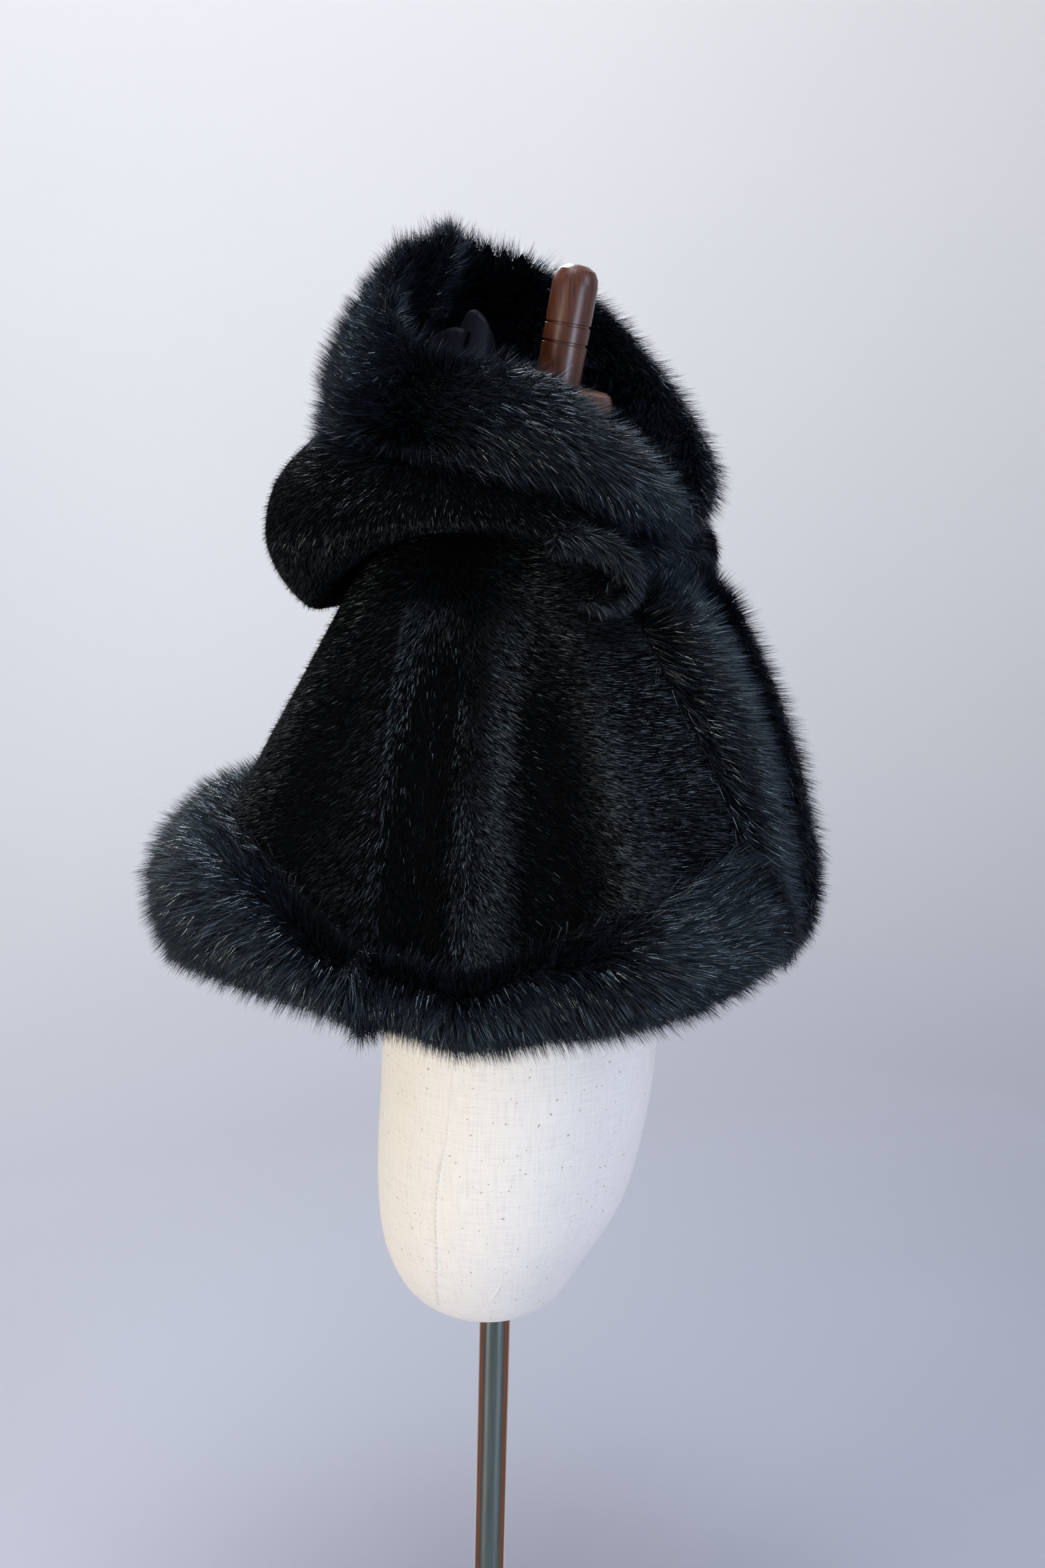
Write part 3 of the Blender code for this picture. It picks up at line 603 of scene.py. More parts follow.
def painted_reflection_material():
    """A painted reflection of a room for the polished chrome: a glowing card, dark before it and brown beside
    it like boards.
    """
    material, tree, sockets = new_material("mirrored_room_floor", {
        "Emission Strength": 1.0, "Base Color": (0, 0, 0, 1)})
    place = node(tree, "TexCoord")["Object"]
    across = node(
        tree, "Mapping", values={"Rotation": (0, 0, math.pi - CAMERA_TURN)}, links={"Vector": place})
    parts = node(tree, "SeparateXYZ", links={"Vector": across["Vector"]})
    level = node(tree, "Math", operation="ABSOLUTE", links={0: parts["Y"]})
    angle = node(tree, "Math", operation="ARCTAN2", links={0: level[0], 1: parts["X"]})
    share = node(tree, "Math", operation="DIVIDE", values={1: math.pi}, links={0: angle[0]})
    drive(tree, sockets, share[0], {"Emission Color": (
        (0.3, srgb("#5A686A")), (0.42, srgb("#4A4A48")), (0.5, srgb("#8A5538")), (0.7, srgb("#7A4A30")),
        (0.8, srgb("#C4C4CC")))})
    return material


def material_of(name, make, *settings):
    """The material by its name, made the first time it is asked for."""
    return bpy.data.materials.get(name) or make(*settings)


def linked(name, data):
    """Puts a mesh, curve, lamp or camera into the scene as an object."""
    made = bpy.data.objects.new(name, data)
    bpy.context.scene.collection.objects.link(made)
    return made


def place_object(name, mesh, material):
    """Puts a mesh into the scene as a piece that rides on the object's body, with its finish's slot."""
    piece = linked(name, mesh)
    mesh.materials.append(material)
    mesh.shade_smooth()
    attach(piece, BODY)
    return piece


def thin_wall(piece, thickness):
    """Gives a sheet its thickness, inwards from its face."""
    wall = piece.modifiers.new("wall", "SOLIDIFY")
    wall.thickness = thickness
    wall.offset = -1


def mesh_from(built, name):
    """Turns a bmesh into a mesh and frees it."""
    mesh = bpy.data.meshes.new(name)
    built.to_mesh(mesh)
    built.free()
    return mesh


def final_mesh(holder):
    """The mesh that an object's modifiers or bevel give. The object itself is removed."""
    graph = bpy.context.evaluated_depsgraph_get()
    mesh = bpy.data.meshes.new_from_object(holder.evaluated_get(graph))
    bpy.data.objects.remove(holder)
    return mesh


def subdivided(built, name, levels):
    """The bmesh with its faces subdivided and smoothed, as a mesh."""
    mesh = mesh_from(built, name)
    holder = linked(name, mesh)
    smoother = holder.modifiers.new("smooth", "SUBSURF")
    smoother.levels = smoother.render_levels = levels
    fine = final_mesh(holder)
    bpy.data.meshes.remove(mesh)
    return fine


def tube_mesh(name, points, radii, smooth_steps):
    """A round tube through points, with a radius at each."""
    curve = bpy.data.curves.new(name, "CURVE")
    curve.dimensions = "3D"
    curve.bevel_depth = 1.0
    curve.bevel_resolution = 2
    curve.use_fill_caps = True
    line = curve.splines.new("BEZIER")
    line.resolution_u = smooth_steps
    line.bezier_points.add(len(points) - 1)
    for place, point, radius in zip(line.bezier_points, points, radii):
        place.co = point
        place.radius = radius
        place.handle_left_type = place.handle_right_type = "AUTO"
    mesh = final_mesh(linked(name, curve))
    mesh.materials.clear()
    return mesh


def solid_copy(name):
    """A merged copy of a node's solid."""
    built = bmesh.new()
    built.from_mesh(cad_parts[name].data)
    bmesh.ops.remove_doubles(built, verts=built.verts, dist=WELD)
    return built


def solid_tree(name):
    """A node's solid, ready for finding what is near a point or along a line."""
    built = solid_copy(name)
    tree = BVHTree.FromBMesh(built)
    built.free()
    return tree


def join_to_quads(built):
    """Joins a solid's triangles back to four-sided faces, so that it subdivides evenly."""
    bmesh.ops.join_triangles(
        built, faces=built.faces, angle_face_threshold=QUAD_ANGLE, angle_shape_threshold=math.pi)


def outer_face(name):
    """The larger smooth side of a thin solid: where a panel's pile ends."""
    built = solid_copy(name)
    left = set(built.faces)
    regions = []
    while left:
        region = {left.pop()}
        edge_faces = list(region)
        while edge_faces:
            face = edge_faces.pop()
            for edge in face.edges:
                if len(edge.link_faces) == 2 and edge.calc_face_angle() < RIM_ANGLE:
                    fresh = [other for other in edge.link_faces if other in left]
                    left.difference_update(fresh)
                    region.update(fresh)
                    edge_faces.extend(fresh)
        regions.append(region)
    largest = max(regions, key=lambda region: sum(face.calc_area() for face in region))
    rest = [face for face in built.faces if face not in largest]
    bmesh.ops.delete(built, geom=rest, context="FACES")
    join_to_quads(built)
    return built


def closed_band(name):
    """A band's whole solid with its seam edges kept sharp: a strip folded and sewn shut."""
    built = solid_copy(name)
    join_to_quads(built)
    crease = built.edges.layers.float.new("crease_edge")
    for edge in built.edges:
        if edge.calc_face_angle() > RIM_ANGLE:
            edge[crease] = 1.0
    return built


def from_seams(mesh, sewn_to):
    """How far each point of a band is from the pieces it is sewn to, and the way off them near by."""
    neighbours = [solid_tree(other) for other in sewn_to]
    nearest = np.full(len(mesh.vertices), SEAM_FADE)
    away = np.zeros((len(mesh.vertices), 3))
    for number, vert in enumerate(mesh.vertices):
        for tree in neighbours:
            place, _, _, distance = tree.find_nearest(vert.co, SEAM_FADE)
            if place is not None and distance < SEAM_FADE:
                nearest[number] = min(nearest[number], distance)
                away[number] += (vert.co - place).normalized() * (1 - distance / SEAM_FADE)
    return nearest, away


def seam_allowance(mesh):
    """Adds a narrow strip beyond a panel's edges, which lies under the piece it is sewn to."""
    built = bmesh.new()
    built.from_mesh(mesh)
    rim = [edge for edge in built.edges if edge.is_boundary]
    outward = {}
    for edge in rim:
        face = edge.link_faces[0]
        first, second = edge.verts
        off = (second.co - first.co).cross(face.normal).normalized()
        if off.dot((first.co + second.co) / 2 - face.calc_center_median()) < 0:
            off.negate()
        for vert in edge.verts:
            outward[vert] = outward.get(vert, Vector()) + off
    made = bmesh.ops.extrude_edge_only(built, edges=rim)["geom"]
    for vert in (item for item in made if isinstance(item, bmesh.types.BMVert)):
        ends = (edge.other_vert(vert) for edge in vert.link_edges)
        sewn = next(end for end in ends if end in outward)
        vert.co += outward[sewn].normalized() * SEAM_ALLOWANCE
    built.to_mesh(mesh)
    built.free()


def read(items, name, width, kind=np.float64):
    """A property of many mesh elements as rows of numbers."""
    values = np.empty(len(items) * width, kind)
    items.foreach_get(name, values)
    return values.reshape(-1, width)


def unit(vectors):
    """The vectors at length one."""
    return vectors / np.maximum(np.linalg.norm(vectors, axis=1, keepdims=True), NO_LENGTH)


def nap_field(nap, places):
    """The way the hairs lie at each place, from a nap's rows at its heights."""
    x, y = places[:, 0], places[:, 1]
    angle = np.degrees(np.arctan2(np.abs(x), -y))
    turn = np.radians(angle)
    side = np.where(x < 0, 1.0, -1.0)
    level = np.zeros_like(x)
    to_front = np.column_stack((side * np.cos(turn), -np.sin(turn), level))
    outward = np.column_stack((-side * np.sin(turn), -np.cos(turn), level))
    level_of = np.interp(places[:, 2], [lie.height for lie in nap], np.arange(len(nap)))
    total = np.zeros_like(places)
    for number, lie in enumerate(nap):
        angles, *ways = np.array(lie.rows).T
        front, down, out = (np.interp(angle, angles, way)[:, None] for way in ways)
        field = unit(front * to_front + out * outward - down * np.array((0.0, 0.0, 1.0)))
        total += field * np.clip(1 - np.abs(level_of - number), 0, 1)[:, None]
    return unit(total)


def drift(rng, places):
    """Smooth random vectors that change over about one wave, for locks that lie uneven."""
    total = np.zeros_like(places)
    for _ in range(DRIFT_WAVES):
        heading = unit(rng.normal(size=(1, 3)))[0]
        push = rng.normal(size=3)
        phase = places @ heading * (2 * math.pi / DRIFT_LENGTH) + rng.uniform(*DRIFT_PHASES)
        total += np.sin(phase)[:, None] * push
    return total / math.sqrt(DRIFT_WAVES)


def drawn_to_locks(rng, places, tips, hairs_in_lock, pull):
    """The tips drawn towards the tip of their lock's leading hair, so the fur falls in tufts."""
    leads = rng.choice(len(places), max(1, len(places) // hairs_in_lock), replace=False)
    tree = kdtree.KDTree(len(leads))
    for number, lead in enumerate(leads):
        tree.insert(places[lead], number)
    tree.balance()
    lead_of = leads[[tree.find(place)[1] for place in places]]
    held = tips[lead_of] + LOCK_SPREAD * (places - places[lead_of])
    strength = pull * rng.uniform(*PULL_RANGE, len(places))[:, None]
    return tips + strength * (held - tips)


def relief(mesh):
    """How far each point stands proud of the form round it: 1 on a fold's crest, -1 in a trough."""
    built = bmesh.new()
    built.from_mesh(mesh)
    for _ in range(RELIEF_ROUNDS):
        bmesh.ops.smooth_vert(
            built, verts=built.verts, factor=0.5, use_axis_x=True, use_axis_y=True, use_axis_z=True)
    even = np.array([vert.co for vert in built.verts])
    built.free()
    proud = np.sum((read(mesh.vertices, "co", 3) - even) * read(mesh.vertices, "normal", 3), axis=1)
    return np.clip((proud - np.median(proud)) / RELIEF_HEIGHT, -1, 1)


def hair_mesh(name, rng, roots, tips, normals, width, roll):
    """A joined mesh of hairs from roots to tips: narrow blades, each turned by a random roll."""
    count = len(roots)
    tilt = rng.normal(0, roll, count)[:, None]
    run = unit(tips - roots)
    across = unit(np.cross(run, normals))
    across = across * np.cos(tilt) + np.cross(across, run) * np.sin(tilt)
    half = 0.5 * width * rng.uniform(*WIDTH_RANGE, count)[:, None]
    corners = np.stack((roots - across * half, roots + across * half, tips), axis=1)
    strand = np.column_stack((np.repeat(rng.random(count), 3), np.tile((0.0, 0.0, 1.0), count)))
    mesh = bpy.data.meshes.new(name)
    mesh.vertices.add(count * 3)
    mesh.vertices.foreach_set("co", corners.reshape(-1))
    mesh.loops.add(count * 3)
    mesh.loops.foreach_set("vertex_index", np.arange(count * 3))
    mesh.polygons.add(count)
    mesh.polygons.foreach_set("loop_start", np.arange(0, count * 3, 3))
    mesh.update(calc_edges=True)
    mesh.uv_layers.new(name="strand").data.foreach_set("uv", strand.reshape(-1))
    return mesh


def scatter(rng, mesh, weight, count):
    """Random places on a mesh, thicker where its points weigh more: a function that reads values there."""
    mesh.calc_loop_triangles()
    triangles = read(mesh.loop_triangles, "vertices", 3, np.int32)
    points = read(mesh.vertices, "co", 3)
    a, b, c = (points[triangles[:, corner]] for corner in range(3))
    area = np.linalg.norm(np.cross(b - a, c - a), axis=1) * weight[triangles].mean(axis=1)
    chosen = triangles[rng.choice(len(area), count, p=area / area.sum())]
    share = rng.dirichlet((1.0, 1.0, 1.0), count)

    def between(values):
        """Values of the mesh's points at the places."""
        return sum(values[chosen[:, corner]] * share[:, corner, None] for corner in range(3))

    return between


def coat_mesh(name, rng, mesh, depth, weight, away, count, nap, coat):
    """The hairs of one coat, from below a face out to it and along the nap."""
    between = scatter(rng, mesh, weight, count)
    places = between(read(mesh.vertices, "co", 3))
    normals = unit(between(read(mesh.vertices, "normal", 3)))
    sink = np.minimum(between(depth[:, None]), coat.root * MM)
    comb = nap_field(nap, places) + between(away)
    comb += DRIFT_SHARE * drift(rng, places) + STRAY_SHARE * rng.normal(size=places.shape)
    comb -= normals * np.sum(comb * normals, axis=1, keepdims=True)
    reach = coat.lay * MM * rng.uniform(*LAY_RANGE, count)[:, None]
    rise = coat.rise * MM * rng.uniform(*RISE_RANGE, count)[:, None]
    rise -= sink * rng.uniform(*SINK_RANGE, count)[:, None]
    tips = drawn_to_locks(rng, places, places + comb * reach + normals * rise, coat.lock, coat.pull)
    return hair_mesh(
        name, rng, places - normals * sink, tips, normals, coat.width * MM, math.radians(coat.roll))


def fur_pieces(name, seed, mesh, depth, guard, under, away, hairs, nap, coats):
    """All coats of hair of one fur piece, thicker where the weight of guard or under hair is higher."""
    rng = np.random.default_rng(seed)
    pieces = []
    for number, coat in enumerate(coats):
        coat_name = f"{name}_hair_{number}"
        weight = under if coat.hair == UNDER else guard
        made = coat_mesh(coat_name, rng, mesh, depth, weight, away, int(hairs * coat.share), nap, coat)
        hair = material_of(coat.hair, hair_material, coat.hair, *HAIR_GLOSS[coat.hair])
        pieces.append(place_object(coat_name, made, hair))
    return pieces


def drawn_in(mesh, depth):
    """A copy of a face, drawn in by the pile's depth."""
    cloth = mesh.copy()
    points = read(mesh.vertices, "co", 3) - read(mesh.vertices, "normal", 3) * depth[:, None]
    cloth.vertices.foreach_set("co", points.reshape(-1))
    cloth.update()
    return cloth


def ground_piece(name, cloth):
    """The cloth that the hairs of a piece stand in."""
    return place_object(
        name + "_ground", cloth, material_of("knitted_fur_ground", backing_material))


def sewn_ground(name, mesh, depth):
    """The cloth of a whole panel or band, with an edge to sew and a thin wall."""
    cloth = drawn_in(mesh, depth)
    seam_allowance(cloth)
    piece = ground_piece(name, cloth)
    thin_wall(piece, BACKING_WALL)
    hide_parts(name)
    return piece


def roll_pieces(piece_name, roll, side):
    """A roll of fur on the right, or mirrored on the left where the side is -1."""
    name = piece_name + "_roll"
    path = np.array(roll.rows) * MM * (side, 1, 1, 1)
    mesh = tube_mesh(name, [Vector(row[:3]) for row in path], path[:, 3], ROLL_STEPS)
    depth = np.full(len(mesh.vertices), roll.sink)
    even = np.ones(len(depth))
    ground = ground_piece(name, drawn_in(mesh, depth))
    hair = fur_pieces(
        name, roll.seed, mesh, depth, even, even, np.zeros((len(depth), 3)), roll.hairs, roll.nap,
        roll.coats)
    return [ground, *hair]


class CAPE_OT_panels(bpy.types.Operator):
    """Body and hood panels: short pile on a cloth ground"""

    bl_idname = "cape.panels"
    bl_label = "Body and hood"

    def execute(self, context):
        for seed, (name, panel) in enumerate(PANELS.items()):
            mesh = subdivided(outer_face(name), name, levels=1)
            depth = np.full(len(mesh.vertices), context.scene.cape_fur.short_sink)
            ground = sewn_ground(name, mesh, depth)
            # Guard hairs follow the relief: painted sheen on the crests, painted shade in the troughs.
            guard = np.clip((relief(mesh) + CREST_FROM) / CREST_OVER, LEAST_GUARD, 1)
            # Where the face looks down the guard hairs come back: a painted highlight on the rolled-under
            # edge.
            painted_fringe_light = np.clip(-UNDER_ROLL * read(mesh.vertices, "normal", 3)[:, 2], 0, 1)
            guard *= panel.level + (1 - panel.level) * painted_fringe_light
            hair = fur_pieces(
                name, seed, mesh, depth, guard, np.ones(len(depth)), np.zeros((len(depth), 3)),
                panel.hairs, panel.nap, short_coats(panel.guard))
            if name in ROLLED:
                hair += roll_pieces(name, *ROLLED[name])
        return {"FINISHED"}


def band_depth(mesh, name):
    """How deep below each point of a band its cloth lies: a share of the band's thickness there."""
    tree = solid_tree(name)
    depth = []
    for vert in mesh.vertices:
        start = vert.co - vert.normal * BELOW_FACE
        struck, _, _, distance = tree.ray_cast(start, -vert.normal)
        thickness = distance if struck is not None else BAND_CORE_MOST
        depth.append(min(thickness * BAND_CORE_SHARE, BAND_CORE_MOST))
    return np.array(depth)


def looks_out(mesh):
    """How far each point of a mesh looks away from the pole, from -1 to 1."""
    outward = unit(read(mesh.vertices, "co", 3) * np.array((1.0, 1.0, 0.0)))
    return np.sum(outward * read(mesh.vertices, "normal", 3), axis=1)


class CAPE_OT_trims(bpy.types.Operator):
    """Bands of long pile round the hood, down the fronts and along the hem"""

    bl_idname = "cape.trims"
    bl_label = "Fur trims"

    def execute(self, context):
        for seed, (name, band) in enumerate(BANDS.items(), TRIM_SEED):
            mesh = subdivided(closed_band(name), name, levels=1)
            from_seam, away = from_seams(mesh, band.sewn_to)
            rise = np.clip((from_seam - SEWN_REACH) / (SEAM_FADE - SEWN_REACH), 0, 1)
            depth = band_depth(mesh, name) * rise ** SEAM_SWELL - SEAM_CLOSING * (rise == 0)
            ground = sewn_ground(name, mesh, depth)
            seen = np.where(looks_out(mesh) < INNER_SIDE, band.inner, 1.0)
            hair = fur_pieces(
                name, seed, mesh, depth, np.maximum(rise, band.edge) * seen, seen, away * band.lean,
                band.hairs, band.nap, LONG_COATS)
            if name in ROLLED:
                hair += roll_pieces(name, *ROLLED[name])
        return {"FINISHED"}


def satin_piece(name, mesh):
    """A thin piece of the lining's satin."""
    piece = place_object(name, mesh, material_of("black_satin", satin_material))
    thin_wall(piece, SATIN_WALL)
    return piece


def ruffle_piece():
    """The lining's loose edge in a ruffle, its foot sewn in the lining."""
    tree = solid_tree("hood_lining")
    falls = []
    for place in RUFFLE:
        top = Vector(place) * MM
        foot, normal, _, _ = tree.find_nearest(top - Vector((0, 0, RUFFLE_FALL)))
        falls.append((top, foot - normal * RUFFLE_SUNK))
    built = bmesh.new()
    rows = []
    for share in RUFFLE_ROWS:
        verts = [built.verts.new(top.lerp(foot, share)) for top, foot in falls]
        rows.append([built.edges.new(pair) for pair in zip(verts, verts[1:])])
    for upper, lower in zip(rows, rows[1:]):
        bmesh.ops.bridge_loops(built, edges=upper + lower)
    bmesh.ops.recalc_face_normals(built, faces=built.faces)
    return satin_piece("satin_ruffle", subdivided(built, "satin_ruffle", levels=2))


class CAPE_OT_lining(bpy.types.Operator):
    """Satin lining in the mouth of the hood"""

    bl_idname = "cape.lining"
    bl_label = "Hood lining"

    def execute(self, context):
        mesh = subdivided(outer_face("hood_lining"), "hood_lining", levels=1)
        piece = satin_piece("satin_lining", mesh)
        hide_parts("hood_lining")
        ruffle_piece()
        return {"FINISHED"}


def map_cloth(mesh):
    """Lays the linen's threads level and upright on a mesh: turn round the pole, and height."""
    points = read(mesh.vertices, "co", 3)
    turn = np.arctan2(points[:, 0], -points[:, 1]) * FORM_RADIUS
    corner_of = read(mesh.loops, "vertex_index", 1, np.int32)[:, 0]
    flat = np.column_stack((turn, points[:, 2]))[corner_of]
    mesh.uv_layers.new(name="cloth").data.foreach_set("uv", flat.reshape(-1))


def linen_piece(name, mesh):
    """A piece of the form's linen, with its threads laid out."""
    map_cloth(mesh)
    return place_object(name, mesh, material_of("slub_linen", linen_material))


def seam_path(tree, rows, side, step):
    """Points on the form and its outward directions along a seam, from the top down."""
    heights = [row[0] for row in rows]
    angles = [row[1] for row in rows]
    path = []
    for height in np.arange(heights[0], heights[-1], -step / MM):
        angle = math.radians(np.interp(height, heights[::-1], angles[::-1]))
        outward = Vector((-side * math.sin(angle), -math.cos(angle), 0))
        start = outward * OUTSIDE_FORM + Vector((0, 0, height * MM))
        point, normal, _, _ = tree.ray_cast(start, -outward)
        path.append((point, normal))
    return path


def welt_piece(name, path, radius):
    """A seam's raised edge: a thin roll of linen half sunk in the cover, thinner at its ends."""
    points = [point - normal * radius * WELT_SUNK for point, normal in path]
    from_end = [min(number, len(path) - 1 - number) for number in range(len(path))]
    radii = [radius * min(1.0, WELT_END + WELT_GROWTH * steps) for steps in from_end]
    linen_piece(name, tube_mesh(name, points, radii, smooth_steps=1))


def stitches_piece(name, path):
    """A row of stitches along a seam, each a short plump thread lying on the cover."""
    built = bmesh.new()
    shape = Matrix.Diagonal((*STITCH, 1))
    for (point, normal), (below, _) in zip(path, path[1:]):
        run = (below - point).normalized()
        across = normal.cross(run).normalized()
        turn = Matrix((run, across, run.cross(across))).transposed().to_4x4()
        place = Matrix.Translation(point + normal * STITCH_LIFT)
        bmesh.ops.create_uvsphere(
            built, u_segments=8, v_segments=5, radius=1, matrix=place @ turn @ shape)
    place_object(name, mesh_from(built, name), material_of("cotton_thread", thread_material))


class CAPE_OT_form(bpy.types.Operator):
    """The dress form's padded linen cover with its side seams and darts"""

    bl_idname = "cape.form"
    bl_label = "Dress form"

    def execute(self, context):
        stand = context.scene.cape_stand
        built = solid_copy("form_torso")
        join_to_quads(built)
        mesh = subdivided(built, "form_cover", levels=2)
        piece = linen_piece("form_cover", mesh)
        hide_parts("form_torso")
        tree = BVHTree.FromPolygons(
            [vert.co for vert in mesh.vertices], [face.vertices for face in mesh.polygons])
        for side, word in ((1, "right"), (-1, "left")):
            welt_piece(f"side_seam_{word}", seam_path(tree, SIDE_SEAM, side, WELT_STEP), SIDE_WELT)
            welt_piece(f"dart_{word}", seam_path(tree, DART, side, WELT_STEP), DART_WELT)
            sewn = [
                step for step in seam_path(tree, SIDE_SEAM, side, stand.stitch_pitch)
                if SIDE_STITCHES[1] < step[0].z / MM < SIDE_STITCHES[0]
            ]
            stitches_piece(f"side_stitches_{word}", sewn)
        return {"FINISHED"}


def turned(profile):
    """A turned solid from radius and height pairs in millimetres, standing on the origin."""
    built = bmesh.new()
    verts = [built.verts.new((radius * MM, 0, height * MM)) for radius, height in profile]
    edges = [built.edges.new(pair) for pair in zip(verts, verts[1:])]
    bmesh.ops.spin(
        built, geom=verts + edges, cent=(0, 0, 0), axis=(0, 0, 1), angle=2 * math.pi,
        steps=TURNED_STEPS, use_merge=True)
    bmesh.ops.remove_doubles(built, verts=built.verts, dist=WELD)
    bmesh.ops.recalc_face_normals(built, faces=built.faces)
    return built


def turned_piece(name, replaced, profile, material, foot=Vector(), lean=0.0):
    """Places a turned piece with its sharp edges kept."""
    built = turned(profile)
    bmesh.ops.transform(
        built, verts=built.verts, matrix=Matrix.Translation(foot) @ Matrix.Rotation(lean, 4, "X"))
    piece = place_object(name, mesh_from(built, name), material)
    piece.data.set_sharp_from_angle(angle=SHARP_ANGLE)
    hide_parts(replaced)


class CAPE_OT_stand(bpy.types.Operator):
    """Wooden neck cap and finial, chrome pole and steel base"""

    bl_idname = "cape.stand"
    bl_label = "Stand"

    def execute(self, context):
        wood = material_of("stained_turned_wood", wood_material)
        turned_piece("wooden_cap", "neck_cap", NECK_CAP, wood, CAP_FOOT, CAP_LEAN)
        turned_piece("wooden_finial", "finial", FINIAL, wood, FINIAL_FOOT, CAP_LEAN)
        low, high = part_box("pole")
        radius = (high[0] - low[0]) / 2 / MM
        length = (high[2] - low[2]) / MM
        tube = ((0, 0), (radius, 0), (radius, length), (0, length))
        chrome = metal_material("chrome_plate", "#C9CBCE", "#B4B7BB", (1.0, 1.0, 0.05), 0.06, 0.12)
        turned_piece("chrome_pole", "pole", tube, chrome, Vector((0, 0, low[2])))
        steel = metal_material("satin_steel", "#B9BABD", "#9C9EA2", (1.0, 0.1, 1.0), 0.28, 0.42)
        turned_piece("steel_base", "base_plate", BASE_PLATE, steel)
        return {"FINISHED"}


def cove(stage):
    """A floor that curves up into a wall all round."""
    rows = [(0.0, 0.0), (stage.floor_radius * 0.5, 0.0)]
    for step in range(COVE_STEPS + 1):
        turn = math.pi / 2 * step / COVE_STEPS
        rows.append((stage.floor_radius + COVE_BEND * math.sin(turn), COVE_BEND * (1 - math.cos(turn))))
    rows.append((stage.floor_radius + COVE_BEND, COVE_BEND + stage.wall_height))
    built = turned([(radius / MM, height / MM) for radius, height in rows])
    bmesh.ops.reverse_faces(built, faces=built.faces)
    mesh = mesh_from(built, "cove")
    mesh.materials.append(material_of("matt_cove_paint", backdrop_material))
    mesh.shade_smooth()
    return linked("cove", mesh)


def mirrored_floor():
    """A glowing card that only mirror rays meet, so it neither shows nor lights anything: a painted
    reflection in the chrome and the other glossy finishes.
    """
    built = bmesh.new()
    bmesh.ops.create_circle(built, cap_ends=True, segments=64, radius=MIRROR_RADIUS)
    bmesh.ops.translate(built, verts=built.verts, vec=(0, 0, MIRROR_LIFT))
    mesh = mesh_from(built, "mirrored_floor")
    mesh.materials.append(painted_reflection_material())
    card = linked("mirrored_floor", mesh)
    card.visible_camera = card.visible_diffuse = card.visible_shadow = card.visible_transmission = False
    return card


def area_light(name, place, target, size, power, colour, spread):
    """A soft light panel aimed at a point, unseen by the camera itself, its beam spread in degrees."""
    lamp = bpy.data.lights.new(name, "AREA")
    lamp.shape = "DISK"
    lamp.size = size
    lamp.spread = math.radians(spread)
    lamp.energy = power
    lamp.color = srgb(colour)
    holder = linked(name, lamp)
    holder.location = place
    holder.rotation_mode = "QUATERNION"
    holder.rotation_quaternion = (target - place).to_track_quat("-Z", "Y")
    holder.visible_camera = False


def studio_lights(stage):
    """The lamps round the object, the one on the wall behind it, and even light from the room."""
    for name, lamp in LAMPS.items():
        target = Vector((0, 0, lamp.height))
        turn, up = math.radians(lamp.angle), math.radians(lamp.rise)
        off = Vector((-math.sin(turn) * math.cos(up), -math.cos(turn) * math.cos(up), math.sin(up)))
        area_light(
            name, target + lamp.distance * off, target, lamp.size, getattr(stage, name + "_power"),
            lamp.colour, lamp.spread)
    wall = CAMERA_HEADING * WALL_AWAY - CAMERA_RIGHT * WALL_LEFT + Vector((0, 0, WALL_RISE))
    place = wall - CAMERA_HEADING * WALL_LAMP_BEFORE + Vector((0, 0, WALL_LAMP_OVER))
    area_light("wall", place, wall, WALL_LAMP_SIZE, stage.wall_power, "#FFFFFF", 180)
    world = bpy.data.worlds.new("soft_room")
    world.use_nodes = True
    ambient = world.node_tree.nodes["Background"]
    ambient.inputs["Color"].default_value = (*srgb("#EDF0FA"), 1.0)
    ambient.inputs["Strength"].default_value = stage.room_strength
    bpy.context.scene.world = world


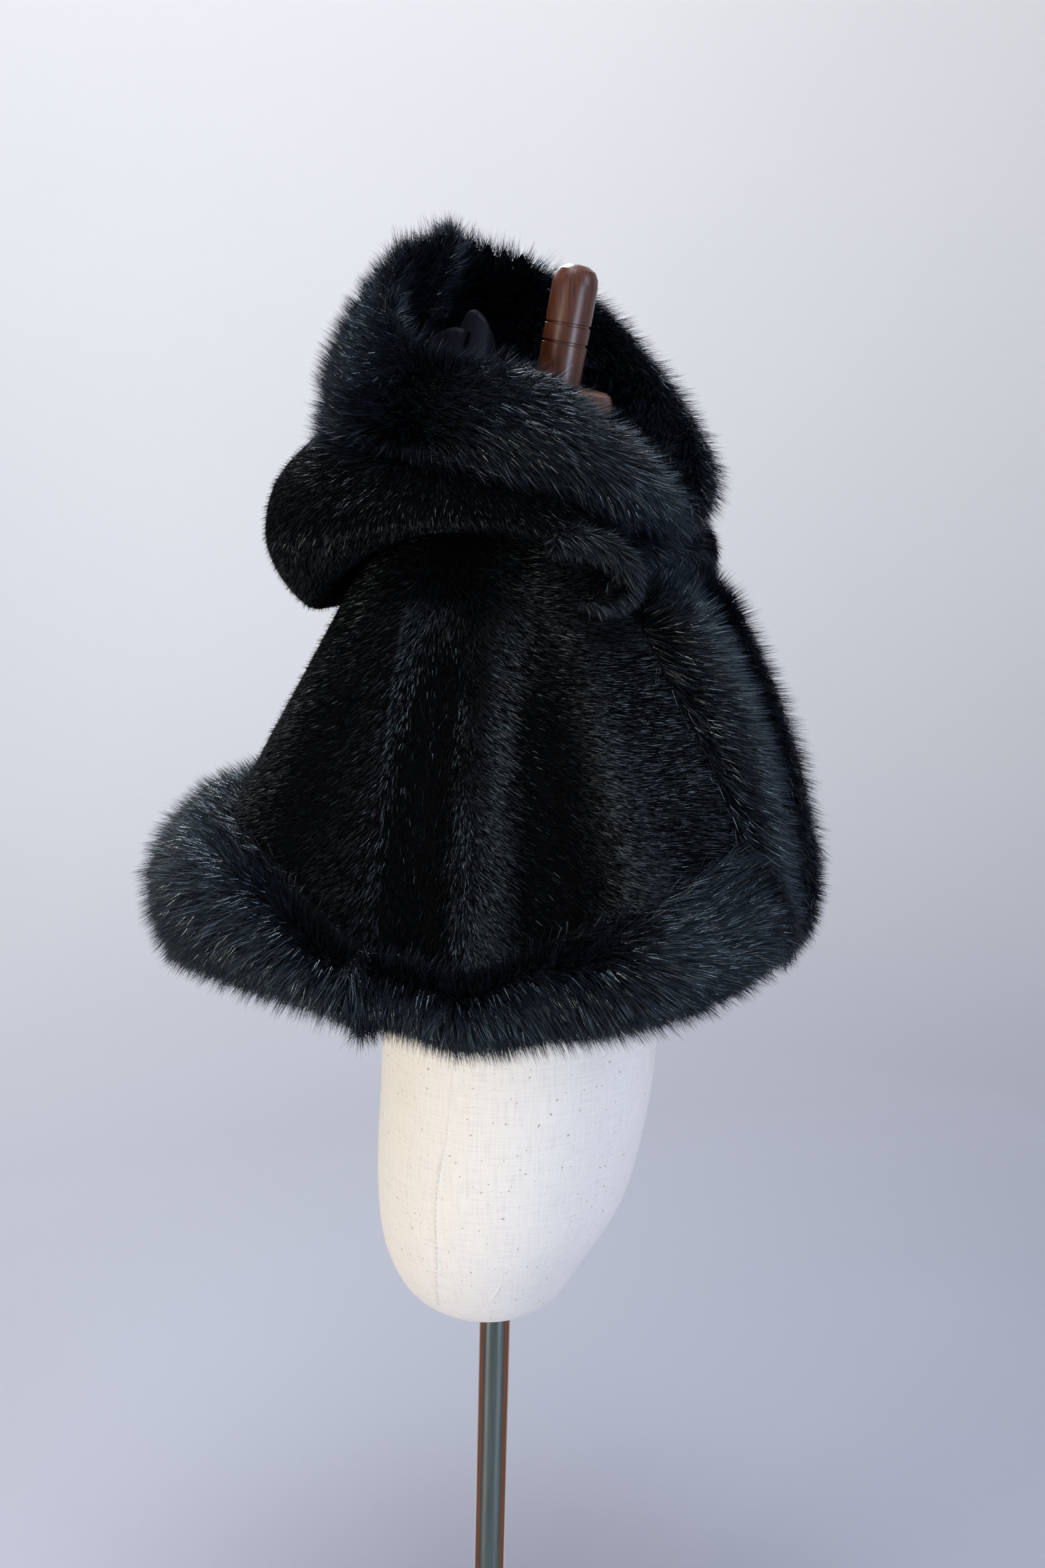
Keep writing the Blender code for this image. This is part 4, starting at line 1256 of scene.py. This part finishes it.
def photo_camera():
    """A camera at the photograph's place, turned as it was."""
    eye = bpy.data.cameras.new("camera")
    eye.sensor_width = SENSOR
    eye.lens = SENSOR * FOCAL_PIXELS / PHOTO_HEIGHT
    sight = CAMERA_HEADING * math.cos(CAMERA_PITCH) - Vector((0, 0, math.sin(CAMERA_PITCH)))
    level_up = CAMERA_RIGHT.cross(sight)
    across = CAMERA_RIGHT * math.cos(CAMERA_ROLL) + level_up * math.sin(CAMERA_ROLL)
    upward = level_up * math.cos(CAMERA_ROLL) - CAMERA_RIGHT * math.sin(CAMERA_ROLL)
    turn = Matrix((across, upward, -sight)).transposed().to_4x4()
    holder = linked("camera", eye)
    holder.matrix_world = Matrix.Translation(CAMERA_PLACE) @ turn
    return holder


class CAPE_OT_stage(bpy.types.Operator):
    """Studio: a pale cove, soft lights and the photograph's camera"""

    bl_idname = "cape.stage"
    bl_label = "Stage"

    def execute(self, context):
        scene = context.scene
        cove(scene.cape_stage)
        mirrored_floor()
        studio_lights(scene.cape_stage)
        scene.camera = photo_camera()
        scene.view_settings.view_transform = "Standard"
        return {"FINISHED"}


class CAPE_PT_panel(bpy.types.Panel):
    """Lists the cape's operators and settings"""

    bl_idname = "CAPE_PT_panel"
    bl_label = "Fur cape"
    bl_space_type = "VIEW_3D"
    bl_region_type = "UI"
    bl_category = "Cape"

    def draw(self, context):
        for operator in OPERATORS:
            self.layout.operator(operator.bl_idname)
        for settings in (context.scene.cape_fur, context.scene.cape_stand, context.scene.cape_stage):
            box = self.layout.box()
            for name in settings.__annotations__:
                box.prop(settings, name)


OPERATORS = (CAPE_OT_stage, CAPE_OT_form, CAPE_OT_stand, CAPE_OT_panels, CAPE_OT_trims, CAPE_OT_lining)
SETTINGS = {
    "cape_fur": CapeFurSettings,
    "cape_stand": CapeStandSettings,
    "cape_stage": CapeStageSettings,
}


def register():
    """Registers the classes and hangs the settings on the scene."""
    for kind in (*SETTINGS.values(), *OPERATORS, CAPE_PT_panel):
        bpy.utils.register_class(kind)
    for name, kind in SETTINGS.items():
        setattr(bpy.types.Scene, name, bpy.props.PointerProperty(type=kind))


def unregister():
    """Takes back all that register added."""
    for name in SETTINGS:
        delattr(bpy.types.Scene, name)
    for kind in (CAPE_PT_panel, *reversed(OPERATORS), *SETTINGS.values()):
        bpy.utils.unregister_class(kind)


def main():
    """Builds every piece in order."""
    register()
    bpy.ops.cape.stage()
    bpy.ops.cape.form()
    bpy.ops.cape.stand()
    bpy.ops.cape.panels()
    bpy.ops.cape.trims()
    bpy.ops.cape.lining()


if __name__ == "__main__":
    main()
